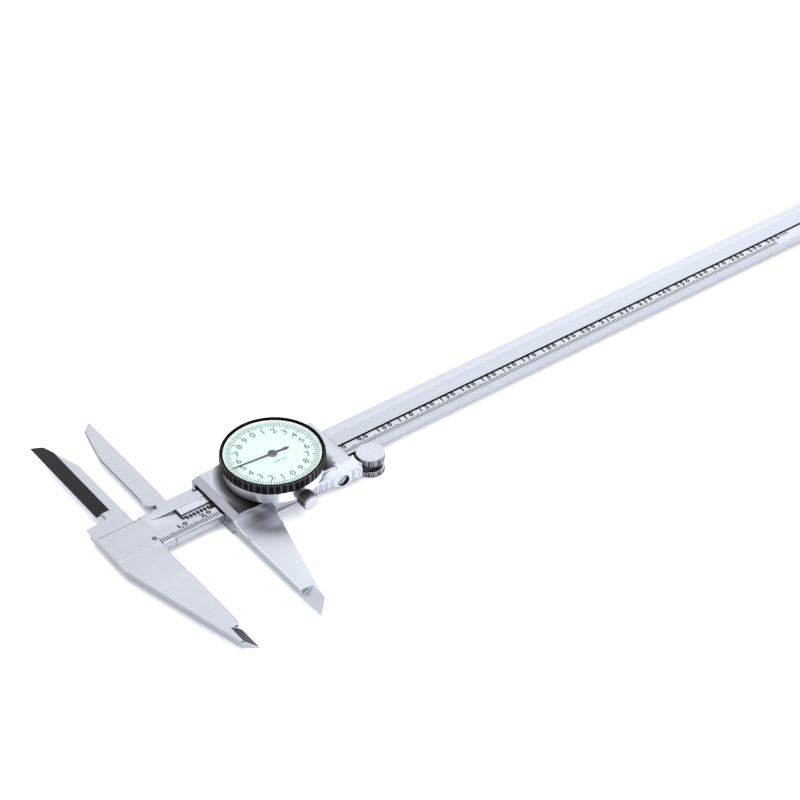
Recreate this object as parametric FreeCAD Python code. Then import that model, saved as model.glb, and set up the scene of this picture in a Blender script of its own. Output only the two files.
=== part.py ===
import FreeCAD, Part
import math
import os

# Dial caliper, 300 mm, lying on its back. Units are millimetres.
# Working frame: X = 0 at the fixed outside measuring face (zero of the scale), Y = 0 at the
# beam's lower edge, Z = 0 at the beam's front face. The outside jaws point to -Y, the inside
# jaws to +Y and the dial to +Z. At the end every piece is moved by one vector, so that the
# origin is the middle of the bounding box's bottom.

# beam and scale
SCALE_LENGTH = 300.0
OPENING = 25.53
BEAM_WIDTH = 17.4
BEAM_THICK = 3.4
EDGE_CHAMFER = 0.35
BEAM_END_CHAMFER = 5.0
OVERRUN = 0.5

# head with the fixed jaws
HEAD_REACH = 18.2
HEAD_TOP = 5.9
JAW_DEPTH = 60.5
JAW_DROP = 0.25
JAW_HEEL = 3.4
JAW_TOE_X = 5.2
JAW_TOE_RISE = 4.2
FACE_START = 16.0
FACE_RELIEF = 0.5
CORNER_RELIEF_X = 5.0
CORNER_RELIEF_Y = 0.45
PANEL_LOW = 1.7
PANEL_MARGIN = 1.2
KNIFE_LENGTH = 12.0
KNIFE_WIDTH = 4.6
KNIFE_LAND = 0.4
KNIFE_NOTCH = 1.0
KNIFE_NOTCH_DEPTH = 1.4

# inside jaws
BLADE_OFFSET = 11.5
BLADE_HEIGHT = 57.7
BLADE_THICK_GAP = 0.1
BLADE_BEVEL = 5.4
BLADE_ROOT = 10.0
BLADE_EDGE = 0.25
BLADE_NOTCH = 1.9
BLADE_NOTCH_RISE = 0.3
FIXED_BLADE_WIDTH = 9.4
SLIDING_BLADE_WIDTH = 7.8
BLADE_TIP_FALL = 3.1
BLADE_CORNER = 3.0
BLADE_FOOT_STEP = 2.7
BLADE_SWEEP_GAP = 0.3
ARM_STRIP_WIDTH = 3.5

# grooves of the beam
GROOVE_LOW = 5.75
GROOVE_HIGH = 13.3
GROOVE_DEPTH = 1.5
GROOVE_START = 2.0
GROOVE_RUNOUT = 11.0
LIP_THICK = 0.75
UNDERCUT = 1.7
ROD_WIDTH = 3.8
ROD_THICK = 1.15
ROD_SIDE_GAP = 0.15
ROD_GROOVE_DEPTH = 1.3
ROD_START = 14.0
ROD_TIP_CUT = 4.0

# rack and its cover strip
RACK_START = 13.2
RACK_BAR_LOW = 9.5
RACK_TOP = 0.3
RACK_TOOTH_LAYER = 0.7
RACK_PITCH = 1.5
RACK_EXTRA_TEETH = 2
RACK_END_MARGIN = 6.0
TOOTH_ADDENDUM = 0.25
TOOTH_DEDENDUM = 0.36
RACK_SIDE_GAP = 0.1
COVER_THICK = 0.22
COVER_START = 30.0
SLOT_WIDTH = 0.9
PRESSURE_SLOPE = math.tan(math.radians(20))
BACKLASH = 0.09

# slider
SLIDER_LENGTH = 53.5
SLIDER_RISE = 1.9
WALL_LOW = 4.1
WALL_HIGH = 4.6
WALL_HIGH_THICK = 2.4
RUN_GAP = 0.05
END_CHAMFER = 3.2
END_LIP = 1.1
END_RELIEF = 0.75
RIDGE = 5.0
RAMP_END = 15.0
RAMP_RADIUS = 30.0
SLIDING_JAW_WIDTH = 16.8
SLIDING_TOE_WIDTH = 4.5
JAW_SHOULDER = 2.5
JAW_SHOULDER_DROP = 2.0
GIB_THICK = 1.5
GIB_INSET = 2.5
GIB_GAP = 0.03
BACK_THICK = 2.85
BACK_LIP = 1.0
BACK_CHAMFER = 0.5

# thumb roller and the arm that carries it
ROLLER_X = 61.0
ROLLER_RADIUS = 5.56
ROLLER_RISE = 2.0
ROLLER_RIM = 2.85
ROLLER_LOW_RIM = 2.5
ROLLER_DROP = 6.1
ROLLER_GAP = 0.03
ROLLER_FLUTES = 32
ROLLER_FLUTE_DEPTH = 0.18
DISH_MARGIN = 0.6
DISH_DEPTH = 0.22
TENSION_SLOT_TURN = -35.0
AXLE_RADIUS = 1.5
AXLE_GAP = 0.04
AXLE_SINK = 1.6
TONGUE_GAP = 0.15
TONGUE_RADIUS = 4.7
TONGUE_OVERLAP = 1.0
TONGUE_ROOT = 0.85
ARM_START = 31.5
ARM_HEEL_Y = 7.3
ARM_TOE_Y = 10.3
ARM_STEP = 0.35
ARM_BEAM_GAP = 2.4
ARM_INSET = 0.5
ROLLER_CLEAR = 0.6
GRIP_PITCH = 2.3
GRIP_RADIUS = 0.6
GRIP_DEPTH = 0.25
GRIP_START = 3.0
GRIP_END = 1.5
TENSION_X = 46.2
TENSION_RADIUS = 2.4
TENSION_RISE = -1.7
TENSION_SINK = 0.7
TENSION_THICK = 1.2
TENSION_BOSS = 3.1
TENSION_BOSS_Y = -6.0
SCREW_GAP = 0.05

# dial: case, movement and bezel
DIAL_X = 26.16
DIAL_Y = 6.99
FLARE_SPREAD = 4.9
FLARE_RISE = 1.1
FLANGE_THICK = 1.3
FLANGE_SHORTER = 7.5
CASE_RADIUS = 18.5
CASE_WALL = 1.2
CASE_FLOOR = 0.8
CASE_HEIGHT = 4.8
NECK_STEP = 0.5
NECK_HEIGHT = 2.1
BEZEL_OVERHANG = 1.1
BEZEL_HEIGHT = 4.1
BEZEL_FLUTES = 50
BEZEL_FLUTE_DEPTH = 0.35
BEZEL_GAP = 0.06
BEZEL_LIFT = 0.1
BEZEL_RUN_HEIGHT = 2.15
BEZEL_LEDGE = 0.3
WINDOW_GAP = 0.05
DIAL_THICK = 0.4
CRYSTAL_THICK = 0.6
CRYSTAL_SINK = 0.25
POINTER_CLEAR = 1.86
POINTER_TAIL = 6.9
POINTER_THICK = 0.25
POINTER_HUB = 1.4
SPADE_HALF = 0.62
POINTER_RISE = 0.25
MM_PER_TURN = 2.0

# gear train
RACK_PINION_TEETH = 8
WHEEL_TEETH = 60
CENTRE_TEETH = 10
WHEEL_CLEAR = 0.4
WHEEL_THICK = 0.6
WHEEL_LIFT = 0.5
WHEEL_BACKLASH = 0.07
CENTRE_OVERHANG = 0.2
ARBOR_RADIUS = 0.8
SLOT_ARBOR_RADIUS = 0.35
PIVOT_RADIUS = 0.4
PIVOT_GAP = 0.04
BUSH_RADIUS = 2.45
PLATE_THICK = 0.7
PLATE_SIDE_GAP = 5.7
PLATE_END_GAP = 3.5
PLATE_CORNER = 4.0
BRIDGE_THICK = 0.7
BRIDGE_LIFT = 2.9
PILLAR_RADIUS = 1.5
PILLAR_INSET = 5.3
BRIDGE_HALF = 2.5
SPRING_INNER = 1.5
SPRING_STEP = 0.5
SPRING_HALF_TURNS = 5
SPRING_THICK = 0.14
SPRING_LIFT = 0.3
STUD_RADIUS = 0.3
SPRING_HEIGHT = 0.4

# knurled screws and plain screws
KNOB_RADIUS = 3.3
KNOB_LENGTH = 5.4
KNOB_DOME = 0.6
KNOB_FLUTES = 24
KNOB_FLUTE_DEPTH = 0.14
KNOB_END_SHRINK = 1.1
SHANK_RADIUS = 1.0
BEZEL_LOCK_RISE = 4.17
BEZEL_LOCK_STANDOFF = 1.1
SLIDER_LOCK_X = 38.5
BACK_SCREW_RADIUS = 0.9
BACK_SCREW_DEPTH = 1.6
BACK_SCREW_INSET = 6.0
BACK_SCREW_SLOT = 0.35
GIB_SCREW_RADIUS = 1.0
GIB_SCREW_INSET = 11.5
GIB_SCREW_DEPTH = 0.2
STOP_LENGTH = 8.0
STOP_RISE = 1.2
STOP_MARGIN = 2.0
STOP_SCREW_HEAD = 1.6
STOP_SCREW_RISE = 0.5
STOP_SCREW_INSET = 2.2
STOP_CHAMFER = 0.3
DRIVE_SLOT = 0.5

# places worked out from the sizes above
BEAM_BACK = -BEAM_THICK
BEAM_MID_Y = BEAM_WIDTH / 2
SLIDE_X = OPENING
SLIDER_END = SLIDE_X + SLIDER_LENGTH
STOP_X = SCALE_LENGTH + SLIDER_LENGTH + OVERRUN
BEAM_END = STOP_X + STOP_LENGTH + 4.0
HALF_Z = BEAM_BACK / 2
BLADE_TOP = BEAM_WIDTH + BLADE_HEIGHT
GROOVE_FLOOR = -GROOVE_DEPTH
RACK_PINION_RADIUS = RACK_PITCH * RACK_PINION_TEETH / (2 * math.pi)
SLOT_Y = GROOVE_LOW + SLOT_WIDTH / 2
RACK_PITCH_Y = SLOT_Y + RACK_PINION_RADIUS
DIAL_CX = SLIDE_X + DIAL_X
CASE_BORE = CASE_RADIUS - CASE_WALL
WHEEL_REACH = (WHEEL_TEETH + TOOTH_ADDENDUM * 2 * math.pi) / (WHEEL_TEETH + CENTRE_TEETH)
WHEEL_DISTANCE = (CASE_BORE - WHEEL_CLEAR) / (1 + WHEEL_REACH)
WHEEL_MODULE = 2 * WHEEL_DISTANCE / (WHEEL_TEETH + CENTRE_TEETH)
PLATE_HALF_X = CASE_BORE - PLATE_SIDE_GAP
PLATE_HALF_Y = CASE_BORE - PLATE_END_GAP
PILLAR_REACH = CASE_BORE - PILLAR_INSET
DRIVE_DX = -math.sqrt(WHEEL_DISTANCE ** 2 - (SLOT_Y - DIAL_Y) ** 2)
DRIVE_X = DIAL_CX + DRIVE_DX
SPRING_X = DIAL_CX - DRIVE_DX
SPRING_Y = 2 * DIAL_Y - SLOT_Y
SEAM = SLIDER_RISE + FLARE_RISE
CASE_TOP = SEAM + CASE_HEIGHT
FLOOR_Z = SEAM + CASE_FLOOR
PLATE_Z = FLOOR_Z + PLATE_THICK
WHEEL_Z = PLATE_Z + WHEEL_LIFT
BRIDGE_Z = PLATE_Z + BRIDGE_LIFT
BEZEL_Z = CASE_TOP + BEZEL_LIFT
BEZEL_TOP = BEZEL_Z + BEZEL_HEIGHT
LEDGE_Z = BEZEL_Z + BEZEL_RUN_HEIGHT
NECK_OUTER = CASE_RADIUS - NECK_STEP
BEZEL_RADIUS = CASE_RADIUS + BEZEL_OVERHANG
FLARE_RADIUS = CASE_RADIUS + FLARE_SPREAD
FLANGE_CUT = CASE_RADIUS - FLANGE_SHORTER
BEZEL_BORE = NECK_OUTER + BEZEL_GAP
WINDOW_RADIUS = BEZEL_BORE + BEZEL_LEDGE
POINTER_LENGTH = WINDOW_RADIUS - POINTER_CLEAR
DIAL_TOP = LEDGE_Z + DIAL_THICK
CRYSTAL_TOP = BEZEL_TOP - CRYSTAL_SINK
ROLLER_CX = SLIDE_X + ROLLER_X
ROLLER_CY = -ROLLER_RADIUS - ROLLER_GAP
BACK_Z = BEAM_BACK - RUN_GAP
BACK_BOTTOM = BACK_Z - BACK_THICK
WALL_INNER = BEAM_WIDTH + WALL_HIGH - WALL_HIGH_THICK
UPPER_WALL_MID_Z = (BACK_Z + END_RELIEF) / 2
KNOB_Y = DIAL_Y - CASE_RADIUS - BEZEL_LOCK_STANDOFF
ROD_TIP = BEAM_END + OPENING
BIG = 500.0


def box(x0, x1, y0, y1, z0, z1):
    return Part.makeBox(x1 - x0, y1 - y0, z1 - z0, FreeCAD.Vector(x0, y0, z0))


def disc(radius, z0, z1, x, y):
    return Part.makeCylinder(radius, z1 - z0, FreeCAD.Vector(x, y, z0))


def rod_y(radius, y0, y1, x, z):
    return Part.makeCylinder(radius, y1 - y0, FreeCAD.Vector(x, y0, z), FreeCAD.Vector(0, 1, 0))


def prism(points, z0, z1):
    wire = Part.makePolygon([FreeCAD.Vector(x, y, z0) for x, y in points + points[:1]])
    return Part.Face(wire).extrude(FreeCAD.Vector(0, 0, z1 - z0))


def prism_along_y(points, y0, y1):
    wire = Part.makePolygon([FreeCAD.Vector(x, y0, z) for x, z in points + points[:1]])
    return Part.Face(wire).extrude(FreeCAD.Vector(0, y1 - y0, 0))


def lathe(profile, x, y):
    """Solid of revolution about a vertical axis at x, y, from (radius, z) points."""
    wire = Part.makePolygon([FreeCAD.Vector(x + r, y, z) for r, z in profile + profile[:1]])
    return Part.Face(wire).revolve(FreeCAD.Vector(x, y, 0), FreeCAD.Vector(0, 0, 1), 360)


def join(first, *others):
    return first.fuse(list(others)).removeSplitter()


def fluted_face(radius, depth, count, land, x, y, z):
    """Round outline with V notches; land is the share of the pitch left at full radius."""
    points = []
    for i in range(count):
        for share, r in ((-land / 2, radius), (land / 2, radius), (0.5, radius - depth)):
            a = (i + share) * 2 * math.pi / count
            points.append(FreeCAD.Vector(x + r * math.cos(a), y + r * math.sin(a), z))
    return Part.Face(Part.makePolygon(points + points[:1]))


def gear(teeth, module, backlash, phase, z0, z1, x, y):
    """Spur gear with straight-sided teeth; phase is the angle of one tooth's middle."""
    pitch_radius = module * teeth / 2
    addendum = TOOTH_ADDENDUM * math.pi * module
    dedendum = TOOTH_DEDENDUM * math.pi * module
    half_pitch = math.pi / (2 * teeth) - backlash / (2 * pitch_radius)
    half_tip = half_pitch - addendum * PRESSURE_SLOPE * 1.25 / pitch_radius
    half_root = half_pitch + min(dedendum * PRESSURE_SLOPE / 2 / pitch_radius, half_pitch * 0.3)
    points = []
    for i in range(teeth):
        middle = phase + 2 * math.pi * i / teeth
        for angle, r in (
            (-half_root, pitch_radius - dedendum),
            (-half_tip, pitch_radius + addendum),
            (half_tip, pitch_radius + addendum),
            (half_root, pitch_radius - dedendum),
        ):
            points.append((x + r * math.cos(middle + angle), y + r * math.sin(middle + angle)))
    return prism(points, z0, z1)


def meshed_phase(driver_phase, driver_teeth, driven_teeth, direction):
    """Phase of a gear that meshes with a driver; direction points from driver to driven."""
    opposite = direction + math.pi + math.pi / driven_teeth
    return opposite - (driver_phase - direction) * driver_teeth / driven_teeth


def knife_bevel(x_face, side, y_start, y_end):
    """Cutter that thins a jaw's toe to a knife edge at its back; side is -1 or +1 along X."""
    outer = x_face - side * 1.0
    inner = x_face + side * KNIFE_WIDTH
    slope = (BEAM_THICK - KNIFE_LAND) / KNIFE_WIDTH
    low = BEAM_BACK + KNIFE_LAND
    rise = slope * 0.4
    points = [(inner + side * 0.4, rise), (outer, rise), (outer, low - slope), (x_face, low)]
    return prism_along_y(points, y_end, y_start)


def blade_outline(x_edge, side, width, root):
    """Inside jaw seen from the front; its measuring edge is at x_edge and its back is on side."""
    back = x_edge + side * width
    return [
        (x_edge, root),
        (x_edge, BLADE_TOP),
        (x_edge + side * 4.0, BLADE_TOP - BLADE_TIP_FALL),
        (back - side * 0.1, BEAM_WIDTH + BLADE_HEIGHT * 0.65),
        (back, root),
    ]


def make_beam():
    body = box(0, BEAM_END, 0, BEAM_WIDTH, BEAM_BACK, 0)
    reach = BEAM_END_CHAMFER
    chamfer = [(BEAM_END + 1, reach), (BEAM_END + 1, -1), (BEAM_END - reach, -1)]
    body = body.cut(prism(chamfer, BEAM_BACK - 1, 1))
    body = body.cut(prism([(x, BEAM_WIDTH - y) for x, y in chamfer], BEAM_BACK - 1, 1))
    head = prism(
        [
            (0, BEAM_WIDTH + HEAD_TOP),
            (-HEAD_REACH, BEAM_WIDTH + HEAD_TOP),
            (-HEAD_REACH, -JAW_HEEL),
            (-JAW_TOE_X, -JAW_DEPTH + JAW_TOE_RISE),
            (0, -JAW_DEPTH),
            (0, -FACE_START),
            (-FACE_RELIEF, -FACE_START + FACE_RELIEF),
            (-FACE_RELIEF, 0),
            (0, 0),
        ],
        BEAM_BACK,
        0,
    )
    head = head.cut(box(-BLADE_OFFSET + FIXED_BLADE_WIDTH, 1, BEAM_WIDTH, BIG, BEAM_BACK - 1, 1))
    blade = prism(blade_outline(-BLADE_OFFSET, 1, FIXED_BLADE_WIDTH, BEAM_WIDTH - 1), BEAM_BACK, 0)
    body = join(body, head, blade)
    # the jaws are ground a little below the beam's front face
    body = body.cut(box(-BIG, 0, -BIG, PANEL_LOW, -JAW_DROP, 1))
    body = body.cut(box(-BIG, 0, BEAM_WIDTH - PANEL_MARGIN, BIG, -JAW_DROP, 1))
    # the fixed blade is half as thick as the beam: the sliding blade crosses behind it
    half = HALF_Z + BLADE_THICK_GAP / 2
    foot = -BLADE_OFFSET - SLIDING_BLADE_WIDTH + BLADE_FOOT_STEP - BLADE_SWEEP_GAP
    body = body.cut(box(foot, 1, BEAM_WIDTH, BIG, BEAM_BACK - 1, half))
    swept = blade_outline(-BLADE_OFFSET, -1, SLIDING_BLADE_WIDTH + BLADE_SWEEP_GAP, sliding_blade_root())
    body = body.cut(prism(offset_foot(swept), BEAM_BACK - 1, half))
    bevel = [
        (-BLADE_OFFSET - 1, 1),
        (-BLADE_OFFSET + BLADE_BEVEL, 1),
        (-BLADE_OFFSET + BLADE_BEVEL, -JAW_DROP),
        (-BLADE_OFFSET, half + BLADE_EDGE),
        (-BLADE_OFFSET - 1, half + BLADE_EDGE),
    ]
    body = body.cut(prism_along_y(bevel, BEAM_WIDTH + BLADE_ROOT, BIG))
    notch_low = BEAM_WIDTH + HEAD_TOP + BLADE_NOTCH_RISE
    notch = prism(
        [
            (-BLADE_OFFSET - 1, notch_low),
            (-BLADE_OFFSET + BLADE_NOTCH, notch_low + BLADE_NOTCH_RISE),
            (-BLADE_OFFSET + BLADE_NOTCH, BEAM_WIDTH + BLADE_ROOT),
            (-BLADE_OFFSET - 1, BEAM_WIDTH + BLADE_ROOT),
        ],
        BEAM_BACK - 1,
        1,
    )
    body = body.cut(notch)
    # knife toe of the fixed jaw and its relief notch
    toe = -JAW_DEPTH + KNIFE_LENGTH
    body = body.cut(knife_bevel(0, -1, toe, -JAW_DEPTH - 1))
    notch = [(1, toe + KNIFE_NOTCH), (-KNIFE_NOTCH_DEPTH, toe), (1, toe - KNIFE_NOTCH)]
    body = body.cut(prism(notch, BEAM_BACK - 1, 1))
    # corner relief beside the measuring face
    body = body.cut(box(-FACE_RELIEF, CORNER_RELIEF_X, -1, CORNER_RELIEF_Y, BEAM_BACK - 1, 1))
    # front groove with an undercut lip, a run-out at its left end, and the depth rod's groove
    body = body.cut(box(GROOVE_START + GROOVE_RUNOUT, BIG, GROOVE_LOW, GROOVE_HIGH, GROOVE_FLOOR, 1))
    ramp = [
        (GROOVE_START, 0),
        (GROOVE_START, 1),
        (GROOVE_START + GROOVE_RUNOUT, 1),
        (GROOVE_START + GROOVE_RUNOUT, GROOVE_FLOOR),
    ]
    body = body.cut(prism_along_y(ramp, GROOVE_LOW, GROOVE_HIGH))
    under = SLOT_Y - RACK_PINION_RADIUS - TOOTH_ADDENDUM * RACK_PITCH - RACK_SIDE_GAP
    body = body.cut(box(GROOVE_START + GROOVE_RUNOUT, BIG, under, GROOVE_LOW + 1, GROOVE_FLOOR, -LIP_THICK))
    rod_half = ROD_WIDTH / 2 + ROD_SIDE_GAP
    rod_start = rod_left() - OPENING - 1
    low = BEAM_MID_Y - rod_half
    body = body.cut(box(rod_start, BIG, low, low + 2 * rod_half, BEAM_BACK - 1, BEAM_BACK + ROD_GROOVE_DEPTH))
    # broken long edges of the front face
    for y, inward in ((0, 1), (BEAM_WIDTH, -1)):
        wire = Part.makePolygon([
            FreeCAD.Vector(CORNER_RELIEF_X, y, -EDGE_CHAMFER),
            FreeCAD.Vector(CORNER_RELIEF_X, y + inward * EDGE_CHAMFER, 0),
            FreeCAD.Vector(CORNER_RELIEF_X, y, 1),
            FreeCAD.Vector(CORNER_RELIEF_X, y - inward, 1),
            FreeCAD.Vector(CORNER_RELIEF_X, y - inward, -EDGE_CHAMFER),
            FreeCAD.Vector(CORNER_RELIEF_X, y, -EDGE_CHAMFER),
        ])
        body = body.cut(Part.Face(wire).extrude(FreeCAD.Vector(BIG, 0, 0)))
    return body


def rod_left():
    return SLIDE_X + ROD_START


def sliding_blade_root():
    return BEAM_WIDTH + ARM_STRIP_WIDTH


def offset_foot(points):
    """The sliding blade's clearance at the closed position, with its foot's corner cut away."""
    root = sliding_blade_root() - BLADE_SWEEP_GAP
    edge = points[0][0]
    back = points[-1][0]
    return [
        (edge + 1, root),
        (edge + 1, BIG),
        (back, BIG),
        (back, root + BLADE_CORNER),
        (back + BLADE_CORNER * 0.3, root + BLADE_CORNER * 0.3),
        (back + BLADE_CORNER, root),
    ]


def rack_gap_x():
    return GROOVE_START + GROOVE_RUNOUT + RACK_PITCH


def make_rack():
    low = RACK_PITCH_Y + TOOTH_DEDENDUM * RACK_PITCH
    high = GROOVE_HIGH - RACK_SIDE_GAP
    layer_top = GROOVE_FLOOR + RACK_TOOTH_LAYER
    end = BEAM_END - RACK_END_MARGIN
    bar = box(RACK_START, end, RACK_BAR_LOW, high, layer_top, -RACK_TOP)
    travel_low = DRIVE_X - OPENING
    travel_high = DRIVE_X - OPENING + SCALE_LENGTH
    first = max(0, int((travel_low - rack_gap_x()) / RACK_PITCH) - RACK_EXTRA_TEETH)
    last = int((travel_high - rack_gap_x()) / RACK_PITCH) + RACK_EXTRA_TEETH
    half = RACK_PITCH / 4 - BACKLASH / 2
    tip = RACK_PITCH_Y - TOOTH_ADDENDUM * RACK_PITCH
    half_tip = half - TOOTH_ADDENDUM * RACK_PITCH * PRESSURE_SLOPE
    half_root = half + TOOTH_DEDENDUM * RACK_PITCH * PRESSURE_SLOPE
    points = [(RACK_START, high), (RACK_START, low)]
    for i in range(first, last):
        middle = rack_gap_x() + (i + 0.5) * RACK_PITCH
        points += [(middle - half_root, low), (middle - half_tip, tip)]
        points += [(middle + half_tip, tip), (middle + half_root, low)]
    points += [(end, low), (end, high)]
    toothed = prism(points, GROOVE_FLOOR, layer_top)
    return bar.fuse(toothed)


def make_rack_cover():
    low = GROOVE_LOW + SLOT_WIDTH
    high = GROOVE_HIGH - RACK_SIDE_GAP
    return box(COVER_START, BEAM_END - RACK_END_MARGIN, low, high, -RACK_TOP, -RACK_TOP + COVER_THICK)


def stop_screw_places():
    low = STOP_MARGIN + STOP_SCREW_INSET
    return [(STOP_X + STOP_LENGTH / 2, y) for y in (low, BEAM_WIDTH - low)]


def make_end_stop():
    block = box(STOP_X, BEAM_END - 1.0, STOP_MARGIN, BEAM_WIDTH - STOP_MARGIN, 0, STOP_RISE)
    top_edges = [e for e in block.Edges if abs(e.CenterOfMass.z - STOP_RISE) < 1e-6]
    block = block.makeChamfer(STOP_CHAMFER, top_edges)
    for x, y in stop_screw_places():
        block = block.cut(disc(STOP_SCREW_HEAD + SCREW_GAP, STOP_RISE - STOP_SCREW_RISE, STOP_RISE + 1, x, y))
    return block


def make_stop_screws():
    screws = []
    for x, y in stop_screw_places():
        head = disc(STOP_SCREW_HEAD, STOP_RISE - STOP_SCREW_RISE, STOP_RISE, x, y)
        half = DRIVE_SLOT / 2
        slot = box(x - 2, x + 2, y - half, y + half, STOP_RISE - STOP_SCREW_RISE / 2, STOP_RISE + 1)
        screws.append(head.cut(slot))
    return Part.makeCompound(screws)


def ramp_cutter():
    """Everything in front of the sliding jaw's long concave ramp."""
    start_z = RAMP_RADIUS - math.sqrt(RAMP_RADIUS ** 2 - (RAMP_END - RIDGE) ** 2)
    middle_y = (RAMP_END + RIDGE) / 2
    middle_z = RAMP_RADIUS - math.sqrt(RAMP_RADIUS ** 2 - (RAMP_END - middle_y) ** 2)
    x = SLIDE_X - 1
    p_top = FreeCAD.Vector(x, -RIDGE, SEAM)
    p_ridge = FreeCAD.Vector(x, -RIDGE, start_z)
    p_end = FreeCAD.Vector(x, -RAMP_END, 0)
    p_far = FreeCAD.Vector(x, -BIG, 0)
    p_high = FreeCAD.Vector(x, -BIG, SEAM)
    arc = Part.Arc(p_ridge, FreeCAD.Vector(x, -middle_y, middle_z), p_end).toShape()
    wire = Part.Wire([arc, Part.makePolygon([p_end, p_far, p_high, p_top, p_ridge])])
    return Part.Face(wire).extrude(FreeCAD.Vector(SLIDING_JAW_WIDTH + 2, 0, 0))


def make_outside_jaw():
    toe_y = -JAW_DEPTH + JAW_TOE_RISE
    outline = [
        (SLIDE_X, -WALL_LOW + 1),
        (SLIDE_X, -JAW_DEPTH),
        (SLIDE_X + SLIDING_TOE_WIDTH, toe_y),
        (SLIDE_X + SLIDING_JAW_WIDTH, -RIDGE - JAW_SHOULDER_DROP),
        (SLIDE_X + SLIDING_JAW_WIDTH - JAW_SHOULDER, -WALL_LOW),
        (SLIDE_X + SLIDING_JAW_WIDTH - JAW_SHOULDER, -WALL_LOW + 1),
    ]
    jaw = prism(outline, BEAM_BACK, SLIDER_RISE).cut(ramp_cutter())
    start = -JAW_DEPTH + KNIFE_LENGTH
    jaw = jaw.cut(knife_bevel(SLIDE_X, 1, start, -JAW_DEPTH - 1))
    return jaw


def make_inside_jaw():
    """Sliding inside jaw, half as thick as the beam, with the strip that ties it to the slider."""
    edge = SLIDE_X - BLADE_OFFSET
    half = HALF_Z - BLADE_THICK_GAP / 2
    root = sliding_blade_root()
    outline = blade_outline(edge, -1, SLIDING_BLADE_WIDTH, BEAM_WIDTH + RUN_GAP)
    blade = prism(outline, BEAM_BACK, half)
    back = edge - SLIDING_BLADE_WIDTH
    blade = blade.cut(box(back - 1, back + BLADE_FOOT_STEP, 0, root, BEAM_BACK - 1, 1))
    corner = box(back - 1, back + BLADE_CORNER, root - 1, root + BLADE_CORNER, BEAM_BACK - 1, 1)
    corner = corner.cut(disc(BLADE_CORNER, BEAM_BACK - 2, 2, back + BLADE_CORNER, root + BLADE_CORNER))
    blade = blade.cut(corner)
    bevel = [
        (edge + 1, BEAM_BACK - 1),
        (edge - BLADE_BEVEL, BEAM_BACK - 1),
        (edge - BLADE_BEVEL, BEAM_BACK),
        (edge, half - BLADE_EDGE),
        (edge + 1, half - BLADE_EDGE),
    ]
    blade = blade.cut(prism_along_y(bevel, BEAM_WIDTH + BLADE_ROOT, BIG))
    strip = box(edge, SLIDE_X + GIB_INSET - 0.5, BEAM_WIDTH + RUN_GAP, root, BEAM_BACK, half)
    return blade.fuse(strip)


def make_flare():
    """Dial base: a concave flare down to the slider's plate, cut straight on both sides."""
    run = FLARE_RADIUS - CASE_RADIUS
    radius = (run ** 2 + FLARE_RISE ** 2) / (2 * FLARE_RISE)
    middle_run = run / 2
    middle_rise = radius - math.sqrt(radius ** 2 - middle_run ** 2)
    x, y = DIAL_CX, DIAL_Y
    low = SLIDER_RISE - FLANGE_THICK
    p = [
        FreeCAD.Vector(x, y, low),
        FreeCAD.Vector(x + FLARE_RADIUS, y, low),
        FreeCAD.Vector(x + FLARE_RADIUS, y, SLIDER_RISE),
        FreeCAD.Vector(x + FLARE_RADIUS - middle_run, y, SLIDER_RISE + middle_rise),
        FreeCAD.Vector(x + CASE_RADIUS - 0.1, y, SEAM),
        FreeCAD.Vector(x, y, SEAM),
    ]
    arc = Part.Arc(p[2], p[3], p[4]).toShape()
    rim = [Part.makeLine(p[0], p[1]), Part.makeLine(p[1], p[2])]
    hub = [Part.makeLine(p[4], p[5]), Part.makeLine(p[5], p[0])]
    wire = Part.Wire(rim + [arc] + hub)
    base = Part.Face(wire).revolve(FreeCAD.Vector(x, y, 0), FreeCAD.Vector(0, 0, 1), 360)
    keep = box(x - BIG, x + BIG, -FLANGE_CUT, BEAM_WIDTH + WALL_HIGH, low - 1, SEAM + 1)
    return base.common(keep)


def arm_outer_y(x):
    """Y of the arm's grip wall at x; the wall leans out towards the roller."""
    share = (x - ARM_START) / (ROLLER_X - ROLLER_RADIUS - ARM_START)
    return -(ARM_HEEL_Y + (ARM_TOE_Y - ARM_HEEL_Y) * share)


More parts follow.
